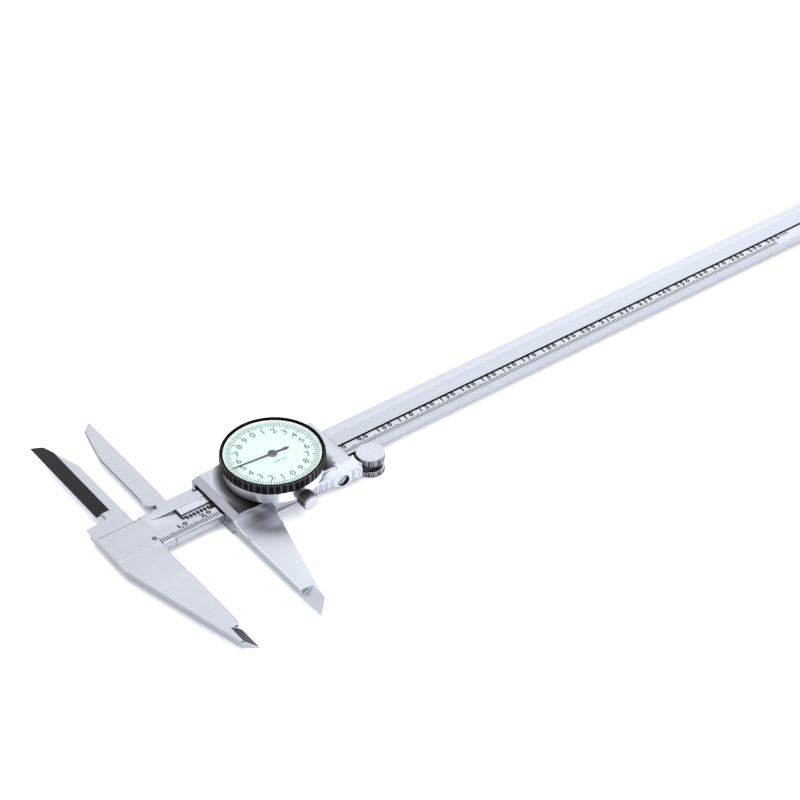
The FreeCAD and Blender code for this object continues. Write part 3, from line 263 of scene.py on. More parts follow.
def ground_steel(name, colour, roughness, line_mm=0.35, run_mm=18.0, side=0.6, crosswise=False):
    """Hardened stainless steel, surface ground along the beam: soft sheen with fine straight lines,
    with painted shade on the upright faces and a painted highlight along the broken edges. Real
    grinding lines are about 0.02 mm apart; they are drawn coarser so that they show."""
    material, tree, shader = blank_material(name)
    place = add_node(tree, "ShaderNodeTexCoord")
    lines = grinding_lines(tree, place, line_mm, run_mm, 3.0, crosswise)
    passes = grinding_lines(tree, place, 1.6, 80.0, 1.0, crosswise)
    tone = add_node(
        tree, "ShaderNodeValToRGB", inputs={"Fac": lines},
        stops=((0.3, shade(colour, 0.955)), (0.7, shade(colour, 1.03))),
    )
    wash = add_node(
        tree, "ShaderNodeValToRGB", inputs={"Fac": passes},
        stops=((0.35, shade(colour, 0.97)), (0.65, shade(colour, 1.02))),
    )
    skin = add_node(
        tree, "ShaderNodeMix", {"data_type": "RGBA"},
        {0: 0.5, 6: tone.outputs["Color"], 7: wash.outputs["Color"]},
    )
    tree.links.new(skin.outputs[2], shader.inputs["Base Color"])
    normal = add_node(tree, "ShaderNodeSeparateXYZ", inputs={"Vector": place.outputs["Normal"]})
    flat = add_node(tree, "ShaderNodeMath", {"operation": "ABSOLUTE"}, {0: normal.outputs["Z"]})
    across = add_node(tree, "ShaderNodeMath", {"operation": "ABSOLUTE"}, {0: normal.outputs["X"]})
    # Painted shade: upright faces take side times their tone, down to 0.62 of that where they face along X.
    upright = add_node(
        tree, "ShaderNodeMapRange",
        inputs={"Value": across.outputs[0], "To Min": side, "To Max": side * 0.62},
    )
    level = add_node(
        tree, "ShaderNodeMapRange",
        inputs={"Value": flat.outputs[0], "From Min": 0.3, "From Max": 0.6},
    )
    painted_side_shade = add_node(
        tree, "ShaderNodeMix", inputs={0: level.outputs[0], 2: upright.outputs[0], 3: 1.0}
    )
    deepen(tree, shader, painted_side_shade.outputs[0])
    # Painted highlight: faces leaning near 45 degrees, the bevels of the broken edges, are made up to 1.4
    # times brighter.
    broken = add_node(
        tree, "ShaderNodeMath", {"operation": "COMPARE"}, {0: flat.outputs[0], 1: 0.707, 2: 0.07}
    )
    painted_edge_highlight = add_node(
        tree, "ShaderNodeMapRange", inputs={"Value": broken.outputs[0], "To Min": 1.0, "To Max": 1.4}
    )
    deepen(tree, shader, painted_edge_highlight.outputs[0])
    rough = add_node(
        tree, "ShaderNodeMapRange",
        inputs={"Value": lines, "To Min": roughness - 0.04, "To Max": roughness + 0.06},
    )
    tree.links.new(rough.outputs[0], shader.inputs["Roughness"])
    bump = add_node(
        tree, "ShaderNodeBump", inputs={"Height": lines, "Strength": 0.03, "Distance": 0.01 * MM}
    )
    tree.links.new(bump.outputs["Normal"], shader.inputs["Normal"])
    shader.inputs["Metallic"].default_value = 1.0
    return material, tree, shader


def jaw_steel(name, colour, roughness):
    """The same ground steel. The lapped bevels of the jaws' points and of the inside jaws mirror a
    dark part of the room, drawn here as a darker finish. Painted light also makes the outside
    jaws a little brighter than the beam."""
    material, tree, shader = ground_steel(name, colour, roughness)
    place = add_node(tree, "ShaderNodeTexCoord")
    spot = add_node(tree, "ShaderNodeSeparateXYZ", inputs={"Vector": place.outputs["Object"]})
    normal = add_node(tree, "ShaderNodeSeparateXYZ", inputs={"Vector": place.outputs["Normal"]})
    # Painted light: brighter towards the outside jaws, darker over the beam and the inside jaws.
    deepen(tree, shader, gradient(tree, "Y", at(0, -18, 0).y, at(0, 5, 0).y, 1.06, 0.93))
    reach = add_node(
        tree, "ShaderNodeMath", {"operation": "SUBTRACT"}, {0: spot.outputs["Y"], 1: at(0, -10, 0).y}
    )
    away = add_node(tree, "ShaderNodeMath", {"operation": "ABSOLUTE"}, {0: reach.outputs[0]})
    ends = add_node(
        tree, "ShaderNodeMath", {"operation": "GREATER_THAN"}, {0: away.outputs[0], 1: 37 * MM}
    )
    across = add_node(tree, "ShaderNodeMath", {"operation": "ABSOLUTE"}, {0: normal.outputs["X"]})
    leaning = add_node(
        tree, "ShaderNodeMath", {"operation": "COMPARE"}, {0: across.outputs[0], 1: 0.42, 2: 0.24}
    )
    upward = add_node(
        tree, "ShaderNodeMath", {"operation": "GREATER_THAN"}, {0: normal.outputs["Z"], 1: 0.5}
    )
    facing = add_node(
        tree, "ShaderNodeMath", {"operation": "MULTIPLY"}, {0: leaning.outputs[0], 1: upward.outputs[0]}
    )
    lapped = add_node(
        tree, "ShaderNodeMath", {"operation": "MULTIPLY"}, {0: facing.outputs[0], 1: ends.outputs[0]}
    )
    dark = add_node(
        tree, "ShaderNodeMapRange",
        inputs={"Value": lapped.outputs[0], "To Min": 1.0, "To Max": 0.12},
    )
    deepen(tree, shader, dark.outputs[0])
    return material


def ramp_steel(name, colour, roughness):
    """Top of the sliding outside jaw: its hollow ground ramp mirrors the dark dial above it, drawn
    here as a darker finish."""
    material, tree, shader = ground_steel(name, colour, roughness)
    along = gradient(tree, "Y", at(0, -20, 0).y, at(0, RIDGE_Y, 0).y)
    hollow = add_node(
        tree, "ShaderNodeValToRGB", inputs={"Fac": along},
        stops=((0.0, grey(1.06)), (0.3, grey(1.0)), (0.5, grey(0.8)), (0.68, grey(0.42)),
               (0.76, grey(0.38)), (0.88, grey(0.6)), (1.0, grey(0.9))),
    )
    hollow.color_ramp.interpolation = "EASE"
    near = gradient(tree, "X", at(26, 0, 0).x, at(34, 0, 0).x)
    tone = add_node(
        tree, "ShaderNodeMix", {"data_type": "RGBA"},
        {0: near, 6: grey(1.0), 7: hollow.outputs["Color"]},
    )
    deepen(tree, shader, tone.outputs[2])
    return material


def flare_steel(name, colour, roughness, centre, inner, outer):
    """Turned flare under the dial case with painted shade and a painted reflection of the bezel:
    bright at its edge, dark towards the case and the front."""
    material, tree, shader = turned_steel(name, colour, roughness, centre)
    place = add_node(tree, "ShaderNodeTexCoord")
    level = add_node(
        tree, "ShaderNodeVectorMath", {"operation": "MULTIPLY"},
        {0: place.outputs["Object"], 1: (1, 1, 0)},
    )
    reach = add_node(
        tree, "ShaderNodeVectorMath", {"operation": "DISTANCE"},
        {0: level.outputs["Vector"], 1: (centre.x, centre.y, 0)},
    )
    share = add_node(
        tree, "ShaderNodeMapRange",
        inputs={"Value": reach.outputs["Value"], "From Min": inner, "From Max": outer},
    )
    # Painted reflection and shade: near black at the case, full tone at the flare's edge.
    tone = add_node(
        tree, "ShaderNodeValToRGB", inputs={"Fac": share.outputs[0]},
        stops=((0.0, grey(0.03)), (0.3, grey(0.12)), (0.6, grey(0.5)), (0.85, grey(1.0))),
    )
    deepen(tree, shader, tone.outputs["Color"])
    # Painted shade towards the front.
    deepen(tree, shader, gradient(tree, "Y", at(0, RIDGE_Y, 0).y, at(0, 5, 0).y, 0.12))
    return material


def rack_steel(name, colour):
    """Milled rack: its top is ground bright with the beam; below the top it is painted darker, and its steep
    faces carry painted shade, near black on the bar's sides.
    """
    material, tree, shader = ground_steel(name, colour, 0.28, 0.3, 12.0)
    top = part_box("rack")[1].z
    # Painted shade below the rack's top.
    deepen(tree, shader, gradient(tree, "Z", top - 0.12 * MM, top - 0.03 * MM, 0.8))
    place = add_node(tree, "ShaderNodeTexCoord")
    normal = add_node(tree, "ShaderNodeSeparateXYZ", inputs={"Vector": place.outputs["Normal"]})
    bar = gradient(tree, "Y", at(0, 9.2, 0).y, at(0, 9.3, 0).y, 0.45, 0.02)
    # Painted shade on the steep faces: near black on the bar's sides, 0.45 of the tone on the teeth.
    painted_rack_shade = add_node(
        tree, "ShaderNodeMapRange", inputs={"Value": normal.outputs["Z"], "To Min": bar}
    )
    deepen(tree, shader, painted_rack_shade.outputs[0])
    return material


def turned_steel(name, colour, roughness, centre, ring_mm=0.3, depth=0.05):
    """Satin chromed steel turned on a lathe: faint rings about the piece's own axis. Real tool
    marks are about 0.05 mm apart; they are drawn coarser so that they show."""
    material, tree, shader = blank_material(name)
    place = add_node(tree, "ShaderNodeTexCoord")
    centred = add_node(
        tree, "ShaderNodeMapping",
        inputs={"Vector": place.outputs["Object"], "Location": tuple(-c for c in centre)},
    )
    rings = add_node(
        tree, "ShaderNodeTexWave", {"wave_type": "RINGS", "rings_direction": "Z"},
        {"Vector": centred.outputs["Vector"], "Scale": 1.0 / (ring_mm * MM * 20), "Distortion": 0.6,
         "Detail": 2.0},
    )
    rough = add_node(
        tree, "ShaderNodeMapRange",
        inputs={"Value": rings.outputs["Fac"], "To Min": roughness - 0.04, "To Max": roughness + 0.05},
    )
    tone = add_node(
        tree, "ShaderNodeValToRGB", inputs={"Fac": rings.outputs["Fac"]},
        stops=((0.3, shade(colour, 1 - depth)), (0.7, shade(colour, 1 + depth))),
    )
    tree.links.new(tone.outputs["Color"], shader.inputs["Base Color"])
    tree.links.new(rough.outputs["Result"], shader.inputs["Roughness"])
    shader.inputs["Metallic"].default_value = 1.0
    return material, tree, shader


def speckled(name, colour, metallic, roughness, grit_mm, depth=0.06, coat=0.0, gloss=0.5):
    """Fine even speckle of tone, roughness and height for enamel, anodising and ink."""
    material, tree, shader = blank_material(name)
    place = add_node(tree, "ShaderNodeTexCoord")
    grit = add_node(
        tree, "ShaderNodeTexNoise",
        inputs={"Vector": place.outputs["Object"], "Scale": 1.0 / (grit_mm * MM), "Detail": 4.0},
    )
    tone = add_node(
        tree, "ShaderNodeValToRGB", inputs={"Fac": grit.outputs["Fac"]},
        stops=((0.3, shade(colour, 1 - depth)), (0.7, shade(colour, 1 + depth))),
    )
    rough = add_node(
        tree, "ShaderNodeMapRange",
        inputs={"Value": grit.outputs["Fac"], "To Min": max(0.02, roughness - 0.05),
                "To Max": roughness + 0.05},
    )
    bump = add_node(
        tree, "ShaderNodeBump",
        inputs={"Height": grit.outputs["Fac"], "Strength": 0.05, "Distance": 0.01 * MM},
    )
    tree.links.new(tone.outputs["Color"], shader.inputs["Base Color"])
    tree.links.new(rough.outputs["Result"], shader.inputs["Roughness"])
    tree.links.new(bump.outputs["Normal"], shader.inputs["Normal"])
    shader.inputs["Metallic"].default_value = metallic
    shader.inputs["Coat Weight"].default_value = coat
    shader.inputs["Specular IOR Level"].default_value = gloss
    return material


def clear_window(name):
    """Moulded acrylic window: clear, polished, with only a faint haze. Its low index of refraction
    leaves the dial's marks where they are."""
    material, tree, shader = blank_material(name)
    place = add_node(tree, "ShaderNodeTexCoord")
    haze = add_node(
        tree, "ShaderNodeTexNoise",
        inputs={"Vector": place.outputs["Object"], "Scale": 1.0 / (6 * MM), "Detail": 3.0},
    )
    rough = add_node(
        tree, "ShaderNodeMapRange", inputs={"Value": haze.outputs["Fac"], "To Min": 0.0, "To Max": 0.04}
    )
    tree.links.new(rough.outputs["Result"], shader.inputs["Roughness"])
    shader.inputs["Base Color"].default_value = (1, 1, 1, 1)
    shader.inputs["Transmission Weight"].default_value = 1.0
    shader.inputs["IOR"].default_value = 1.05
    return material


MATERIALS = {}

# Name, metallic, roughness, grain in millimetres, depth of tone, coat and gloss.
SPECKLED = {
    # Painted shade for the roller's rim.
    "roller_side": ("knurled_roller_rim", 1.0, 0.3, 0.3),
    "knurl": ("knurled_steel", 1.0, 0.3, 0.3),
    # Painted shade for grooves and recesses.
    "groove": ("oiled_knurl_groove", 1.0, 0.35, 0.3),
    "bezel": ("black_anodised_aluminium", 0.0, 0.35, 0.25, 0.1, 0.0, 0.06),
    # Painted highlight for the bezel's rib floors.
    "flank": ("worn_anodised_flank", 0.0, 0.35, 0.25, 0.1),
    "dial": ("baked_dial_enamel", 0.0, 0.5, 0.5, 0.012),
    "rim": ("white_spacer_lacquer", 0.0, 0.45, 0.4, 0.02),
    "dial_ink": ("dial_line_ink", 0.0, 0.6, 0.2, 0.05),
    "digit_ink": ("dial_digit_ink", 0.0, 0.6, 0.2, 0.05),
    "hand": ("lacquered_pointer", 0.0, 0.35, 0.3, 0.06, 0.4),
    "engraving": ("filled_engraving", 0.0, 0.6, 0.15, 0.15),
    "spring": ("blued_spring_steel", 1.0, 0.25, 0.4),
}


def make_materials():
    f = finishes()
    steel = linear(f.steel)
    dial = middle_of("dial_case")
    case = (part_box("dial_case")[1].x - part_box("dial_case")[0].x) / 2
    MATERIALS["ground"] = jaw_steel("ground_stainless", steel, 0.2)
    # The ramp takes a lighter copy of the steel: painted light.
    MATERIALS["ramp"] = ramp_steel("hollow_ground_ramp", shade(steel, 1.22), 0.32)
    MATERIALS["flare"] = flare_steel(
        "turned_flare", shade(steel, 1.1), 0.3, dial, case, case + FLARE_SPREAD * MM
    )
    MATERIALS["chamfer"] = ground_steel("milled_chamfer", shade(steel, 1.1), 0.3, crosswise=True)[0]
    # The arm takes a lighter copy of the steel: painted light.
    MATERIALS["arm"] = ground_steel("milled_arm_painted_light", shade(steel, 1.32), 0.3, side=0.62)[0]
    MATERIALS["strip"] = ground_steel("rolled_stainless_strip", linear(f.strip), 0.24, 0.3, 60.0)[0]
    MATERIALS["rack"] = rack_steel("milled_rack_steel", shade(steel, 1.15))
    MATERIALS["bright"] = ground_steel("polished_screw_steel", shade(steel, 1.05), 0.2, 0.2, 2.0)[0]
    MATERIALS["case"] = turned_steel("satin_chrome_case", linear(f.case), 0.3, dial)[0]
    MATERIALS["roller"] = turned_steel(
        "turned_roller_steel", linear(f.roller), 0.22, middle_of("roller_upper_wheel"), 0.3
    )[0]
    MATERIALS["knob_end"] = turned_steel(
        "polished_knob_end", linear(f.knob_end), 0.22, middle_of("bezel_lock_screw"), 0.25
    )[0]
    MATERIALS["brass"] = ground_steel("rolled_brass", linear(f.brass), 0.3, 0.25, 4.0)[0]
    for key, (name, metallic, *look) in SPECKLED.items():
        MATERIALS[key] = speckled(name, linear(getattr(f, key)), metallic, *look)
    MATERIALS["window"] = clear_window("acrylic_window")


NODE_FINISH = {
    "beam": "ground", "rack": "rack", "rack_cover": "strip", "end_stop": "ground",
    "end_stop_screws": "bright", "slider": "ground", "gib": "brass", "gib_screws": "bright",
    "back_plate": "ground", "back_plate_screws": "bright", "depth_rod": "ground",
    "roller_upper_wheel": "roller", "roller_lower_wheel": "roller", "roller_axle": "bright",
    "roller_tension_screw": "bright", "dial_case": "case", "pinion_bush": "brass",
    "movement_plate": "brass", "movement_bridge": "brass", "movement_pillars": "brass",
    "rack_pinion": "bright", "drive_wheel": "brass", "centre_pinion": "bright",
    "spring_wheel": "brass", "hairspring": "spring", "bezel": "bezel", "dial_face": "dial",
    "crystal": "window", "pointer": "hand", "bezel_lock_screw": "knurl",
    "slider_lock_screw": "knurl",
}

# Widths in millimetres of the broken edges on pieces that come straight from the frame.
SOFT_EDGES = {
    "beam": 0.26, "rack_cover": 0.04, "rack": 0.03, "end_stop": 0.1,
    "back_plate": 0.12, "depth_rod": 0.1, "dial_case": 0.08,
}


# Building helpers


def new_piece(name, bm, body, finish, smooth=True, more=()):
    """Turns a bmesh into a piece that rides on a body; marked faces take one of the other finishes."""
    bmesh.ops.remove_doubles(bm, verts=bm.verts, dist=1e-8)
    bmesh.ops.recalc_face_normals(bm, faces=bm.faces)
    for face in bm.faces:
        face.smooth = smooth
    mesh = bpy.data.meshes.new(name)
    bm.to_mesh(mesh)
    bm.free()
    if smooth:
        mesh.set_sharp_from_angle(angle=math.radians(35))
    mesh.materials.append(MATERIALS[finish])
    for other in more:
        mesh.materials.append(MATERIALS[other])
    piece = bpy.data.objects.new(name, mesh)
    bpy.context.scene.collection.objects.link(piece)
    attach(piece, body)
    return piece


def soften(piece, width_mm):
    """Breaks the sharp edges of a piece and keeps its flats flat."""
    weld = piece.modifiers.new("weld", "WELD")
    weld.merge_threshold = 2e-6
    bevel = piece.modifiers.new("edges", "BEVEL")
    bevel.width = width_mm * MM
    bevel.segments = 1
    bevel.limit_method = "ANGLE"
    bevel.angle_limit = math.radians(40)
    bevel.use_clamp_overlap = False
    split = piece.modifiers.new("creases", "EDGE_SPLIT")
    split.split_angle = math.radians(11)
    split.use_edge_sharp = False
    normals = piece.modifiers.new("normals", "WEIGHTED_NORMAL")
    normals.keep_sharp = False
    normals.weight = 50


def prism(outline, axis, low, high):
    """Solid from an outline in millimetres: (x, y) points drawn up Z, or (y, z) along X."""
    bm = bmesh.new()
    spots = [at(low, *p) if axis == "X" else at(*p, low) for p in outline]
    face = bm.faces.new([bm.verts.new(spot) for spot in spots])
    grown = bmesh.ops.extrude_face_region(bm, geom=[face])["geom"]
    run = (high - low) * MM
    step = Vector((run, 0, 0)) if axis == "X" else Vector((0, 0, run))
    bmesh.ops.translate(bm, vec=step, verts=[g for g in grown if isinstance(g, bmesh.types.BMVert)])
    bmesh.ops.recalc_face_normals(bm, faces=bm.faces)
    return bm


def carve(body, tool, operation):
    """Adds one solid to another or cuts it away."""
    pair = []
    for name, bm in (("body", body), ("tool", tool)):
        mesh = bpy.data.meshes.new(name)
        bm.to_mesh(mesh)
        bm.free()
        pair.append(bpy.data.objects.new(name, mesh))
        bpy.context.scene.collection.objects.link(pair[-1])
    cut = pair[0].modifiers.new("cut", "BOOLEAN")
    cut.operation = operation
    cut.solver = "EXACT"
    cut.object = pair[1]
    shape = pair[0].evaluated_get(bpy.context.evaluated_depsgraph_get())
    result = bmesh.new()
    result.from_mesh(shape.to_mesh())
    for helper in pair:
        bpy.data.meshes.remove(helper.data)
    return result


def add_bar(bm, low, high):
    """Box between two points of the frame."""
    centre = (low + high) / 2
    span = high - low
    place = Matrix.Translation(centre) @ Matrix.Diagonal((*span, 1))
    bmesh.ops.create_cube(bm, size=1.0, matrix=place)


def add_words(bm, words, height, centre, turn=0.0, thick=0.012 * MM, widen=1.0, bold=0.0):
    """Adds flat raised letters, upright along X unless turned about Z, centred on a point."""
    curve = bpy.data.curves.new("words", "FONT")
    curve.body = words
    curve.size = 1.0
    curve.resolution_u = 3
    curve.extrude = 0.5 - bold
    curve.align_x = "CENTER"
    helper = bpy.data.objects.new("words", curve)
    bpy.context.scene.collection.objects.link(helper)
    curve.bevel_depth = bold
    curve.bevel_resolution = 0
    mesh = bpy.data.meshes.new_from_object(helper)
    bpy.data.objects.remove(helper)
    xs = [v.co.x for v in mesh.vertices]
    ys = [v.co.y for v in mesh.vertices]
    scale = height / (max(ys) - min(ys))
    move = Matrix.Translation(centre) @ Matrix.Rotation(turn, 4, "Z")
    size = Matrix.Diagonal((scale * widen, scale, thick, 1))
    shift = Matrix.Translation((-(max(xs) + min(xs)) / 2, -(max(ys) + min(ys)) / 2, 0.5))
    mesh.transform(move @ size @ shift)
    bm.from_mesh(mesh)
    bpy.data.meshes.remove(mesh)


def spun_profile(bm, points, axis_point, axis, steps):
    """Closed ring or solid made by spinning (radius, height) points about an axis."""
    side = axis.orthogonal().normalized()
    verts = [bm.verts.new(axis_point + side * r * MM + axis * h * MM) for r, h in points]
    edges = [bm.edges.new((verts[i], verts[i + 1])) for i in range(len(verts) - 1)]
    bmesh.ops.spin(
        bm, geom=verts + edges, cent=axis_point, axis=axis, angle=math.tau, steps=steps, use_merge=True
    )
    bmesh.ops.remove_doubles(bm, verts=bm.verts, dist=1e-7)


def ribbed_shape(rows, ribs, pattern, closed):
    """Turned shape with ribs. Each row is (radius, height, rib depth) in millimetres; the pattern
    gives the share of that depth at even steps round one rib. It comes out about the Z axis."""
    steps = ribs * len(pattern)
    bm = bmesh.new()
    bmesh.ops.create_circle(bm, segments=steps, radius=1.0)
    edges = list(bm.edges)
    first = edges
    for number, (radius, height, depth) in enumerate(rows):
        if number:
            grown = bmesh.ops.extrude_edge_only(bm, edges=edges)["geom"]
            edges = [g for g in grown if isinstance(g, bmesh.types.BMEdge)]
        for vert in {v for e in edges for v in e.verts}:
            angle = math.atan2(vert.co.y, vert.co.x) % math.tau
            share = pattern[round(angle / math.tau * steps) % len(pattern)]
            reach = (radius - depth * share) * MM
            vert.co = (reach * math.cos(angle), reach * math.sin(angle), height * MM)
    if closed:
        bmesh.ops.bridge_loops(bm, edges=first + edges)
    else:
        bmesh.ops.edgeloop_fill(bm, edges=first)
        bmesh.ops.edgeloop_fill(bm, edges=edges)
    return bm


def mark_sides(bm, low, high, number=1):
    """Gives the upright faces between two radii in millimetres another finish."""
    bm.normal_update()
    for face in bm.faces:
        middle = face.calc_center_median()
        reach = math.hypot(middle.x, middle.y) / MM
        if len(face.verts) == 4 and abs(face.normal.z) < 0.5 and low < reach < high:
            face.material_index = number


def stand_at(bm, centre, axis):
    """Turns a shape made about Z to an axis and moves its base to a point."""
    turn = Vector((0, 0, 1)).rotation_difference(axis).to_matrix().to_4x4()
    bmesh.ops.transform(bm, matrix=Matrix.Translation(centre) @ turn, verts=bm.verts)


# Operators: the caliper


class CALIPER_OT_finishes(Operator):
    """Give every piece of the frame its finish"""

    bl_idname = "caliper.finishes"
    bl_label = "Finishes"

    def execute(self, context):
        make_materials()
        for name, piece in NODES.items():
            piece.data.materials.clear()
            piece.data.materials.append(MATERIALS[NODE_FINISH[name]])
        return {"FINISHED"}


class CALIPER_OT_soft_edges(Operator):
    """Break the sharp edges of the ground pieces"""

    bl_idname = "caliper.soft_edges"
    bl_label = "Broken edges"

    def execute(self, context):
        for name, width in SOFT_EDGES.items():
            soften(NODES[name], width)
        return {"FINISHED"}


class CALIPER_OT_slider(Operator):
    """Trim the dial base behind the jaw's ridge and carry the arm's wall up to the jaw"""

    bl_idname = "caliper.slider"
    bl_label = "Slider"

    def execute(self, context):
        bm = bmesh.new()
        bm.from_mesh(NODES["slider"].data)
        bmesh.ops.remove_doubles(bm, verts=bm.verts, dist=2e-6)
        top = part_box("dial_case")[0].z / MM - ZERO.z / MM + 0.4
        ramp = [(RIDGE_Y, top), (RIDGE_Y, 1.70)]
        for y in (-6, -7, -8, -9, -10, -11, -12, -13, -13.9):
            fall = math.sqrt(RAMP_RADIUS**2 - (y - RAMP_FOOT_Y) ** 2)
            ramp.append((y, RAMP_RADIUS - fall - 0.02))
        ramp += [(-25.0, 0.03), (-25.0, top)]
        left, right = JAW_SIDE_X, 71.5
        wall = [ARM_HEEL[1] - ARM_FALL * (x - ARM_HEEL[0]) / ARM_RUN for x in (left, right)]
        front = [(left, wall[0]), (left, SAFE_Y), (right, SAFE_Y), (right, wall[1])]
        above = [(left, -4.1), (left, SAFE_Y), (right, SAFE_Y), (right, -4.1)]
        web = [(41.0, -3.6), (41.0, -5.34), (57.1, -7.309), (57.1, -3.6)]
        horn = [(79.6, -7.6), (79.6, SAFE_Y), (92.0, SAFE_Y), (92.0, -11.2), (82.5, -9.0)]
        for outline, axis, low, high, operation in (
            (ramp, "X", 24.0, 42.5, "DIFFERENCE"),
            (front, "Z", 0.5, 1.6, "DIFFERENCE"),
            (above, "Z", ARM_TOP, top, "DIFFERENCE"),
            (web, "Z", ARM_BOTTOM, ARM_TOP, "UNION"),
            (horn, "Z", -6.0, 3.0, "DIFFERENCE"),
        ):
            bm = carve(bm, prism(outline, axis, low, high), operation)
        bmesh.ops.remove_doubles(bm, verts=bm.verts, dist=2e-6)
        bmesh.ops.dissolve_limit(bm, angle_limit=math.radians(0.3), verts=bm.verts, edges=bm.edges)
        bmesh.ops.triangulate(bm, faces=bm.faces)
        weight = bm.edges.layers.float.new("bevel_weight_edge")
        for edge in bm.edges:
            sharp = edge.is_manifold and edge.calc_face_angle() > math.radians(40)
            height = ((edge.verts[0].co.z + edge.verts[1].co.z) / 2 - ZERO.z) / MM
            if sharp and height < 1.95 and edge.calc_length() > 0.7 * MM:
                edge[weight] = 1.0
        more = ("ramp", "chamfer", "arm", "groove", "flare")
        piece = new_piece("slider_body", bm, "slider_group", "ground", more=more)
        self.lay_finishes(piece, ("ground", *more).index)
        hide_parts("slider")
        soften(piece, 0.24)
        piece.modifiers["edges"].limit_method = "WEIGHT"
        return {"FINISHED"}

    def lay_finishes(self, piece, number_of):
        """Gives the ramp, the end chamfer, the flare and the arm their finishes, the arm's a lighter copy of
        the steel as painted light; the screw's hole and the tongue under the roller take painted shade.
        """
        dial = (middle_of("dial_case") - ZERO) / MM
        screw = (middle_of("roller_tension_screw") - ZERO) / MM
        for face in piece.data.polygons:
            x, y, z = (face.center - ZERO) / MM
            on_jaw = x < 42.5 and y < RIDGE_Y
            if on_jaw and face.normal.z > 0.8 and abs(face.normal.x) < 0.05:
                finish = "ramp"
            elif x < 29 and face.normal.x < -0.1 and face.normal.z > 0.5:
                finish = "chamfer"
            elif z > 1.92 and math.hypot(x - dial.x, y - dial.y) < 23.5:
                finish = "flare"
            # Painted shade in the tension screw's hole and on the tongue under the roller.
            elif y < -7.0 and math.hypot(x - screw.x, z - screw.z) < 2.5:
                finish = "groove"
            elif x > 80.6 and z < 1.5:
                finish = "groove"
            # The arm's lighter steel is painted light.
            elif x > 42.5 and y < -4.2 or x > 79.1:
                finish = "arm"
            else:
                finish = "ground"
            face.material_index = number_of(finish)


class CALIPER_OT_scale(Operator):
    """Engrave the millimetre lines and numbers of the beam"""

    bl_idname = "caliper.scale"
    bl_label = "Beam scale"

    def execute(self, context):
        s = sizes()
        bm = bmesh.new()
        for i in range(301):
            length = s.tick_long if i % 5 == 0 else s.tick_short
            if i in range(10, 100, 10):
                length = s.tick_ten
            centre = at(i, 0, 0)
            low = centre + Vector((-s.tick_width / 2, s.tick_low, -0.02 * MM))
            high = centre + Vector((s.tick_width / 2, s.tick_low + length, 0.012 * MM))
            add_bar(bm, low, high)
        new_piece("scale_lines", bm, "beam_group", "engraving", smooth=False)
        bm = bmesh.new()
        for i in range(31):
            words = str(i * 10)
            for place, digit in enumerate(words):
                x = i * 10 + (place - (len(words) - 1) / 2) * DIGIT_PITCH
                x += 0.3 if i else -1.3
                add_words(bm, digit, s.digit_height, at(x, 4.5, 0), widen=1.35, bold=0.05)
        add_words(bm, "mm", 1.1 * MM, at(306.8, 4.6, 0), widen=1.3, bold=0.02)
        new_piece("scale_numbers", bm, "beam_group", "engraving", smooth=False)
        return {"FINISHED"}


class CALIPER_OT_dial_marks(Operator):
    """Print the lines and numbers of the dial"""

    bl_idname = "caliper.dial_marks"
    bl_label = "Dial marks"

    def execute(self, context):
        s = sizes()
        centre = middle_of("dial_face")
        centre.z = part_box("dial_face")[1].z
        bm = bmesh.new()
        for i in range(100):
            turn = -i * math.tau / 100
            inner = 14.5 if i % 5 == 0 else 15.3
            wide = 0.42 if i % 5 == 0 else 0.38
            grown = bmesh.ops.create_cube(bm, size=1.0)["verts"]
            shape = Matrix.Diagonal((wide * MM, (DIAL_EDGE - inner) * MM, 0.02 * MM, 1))
            out = Matrix.Translation((0, (DIAL_EDGE + inner) / 2 * MM, 0))
            place = Matrix.Translation(centre) @ Matrix.Rotation(turn, 4, "Z") @ out @ shape
            bmesh.ops.transform(bm, matrix=place, verts=grown)
        new_piece("dial_lines", bm, "bezel_group", "dial_ink", smooth=False)
        bm = bmesh.new()
        for i in range(20):
            turn = i * math.tau / 20
            value = i % 10
            spot = centre + Vector((math.sin(turn), math.cos(turn), 0)) * s.dial_digit_radius
            add_words(bm, str(value), s.dial_digit, spot, thick=0.015 * MM, widen=1.12, bold=0.012)
            if value:
                dot = spot + Vector((-0.55, -0.44, 0)) * s.dial_digit
                add_bar(bm, dot - Vector((0.13, 0.13, 0)) * MM, dot + Vector((0.13, 0.13, 0.015)) * MM)
        add_words(bm, "0.02 mm", 1.1 * MM, centre + Vector((0.4, -4.4, 0)) * MM, thick=0.015 * MM)
        new_piece("dial_numbers", bm, "bezel_group", "digit_ink", smooth=False)
        return {"FINISHED"}


class CALIPER_OT_dial_rim(Operator):
    """Fit the white spacer ring between the dial and the window"""

    bl_idname = "caliper.dial_rim"
    bl_label = "Dial spacer"

    def execute(self, context):
        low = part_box("dial_face")[1].z
        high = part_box("crystal")[0].z
        centre = middle_of("dial_face")
        outer = (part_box("dial_face")[1].x - centre.x) / MM
        tall = (high - low) / MM
        rows = [(outer - 0.02, 0, 0), (outer - 0.02, tall, 0), (outer - 0.3, tall, 0),
                (outer - 0.45, tall - 0.15, 0), (outer - 0.45, 0, 0)]
        bm = ribbed_shape(rows, 120, (0,), True)
        stand_at(bm, Vector((centre.x, centre.y, low)), Vector((0, 0, 1)))
        new_piece("dial_spacer", bm, "bezel_group", "rim")
        return {"FINISHED"}


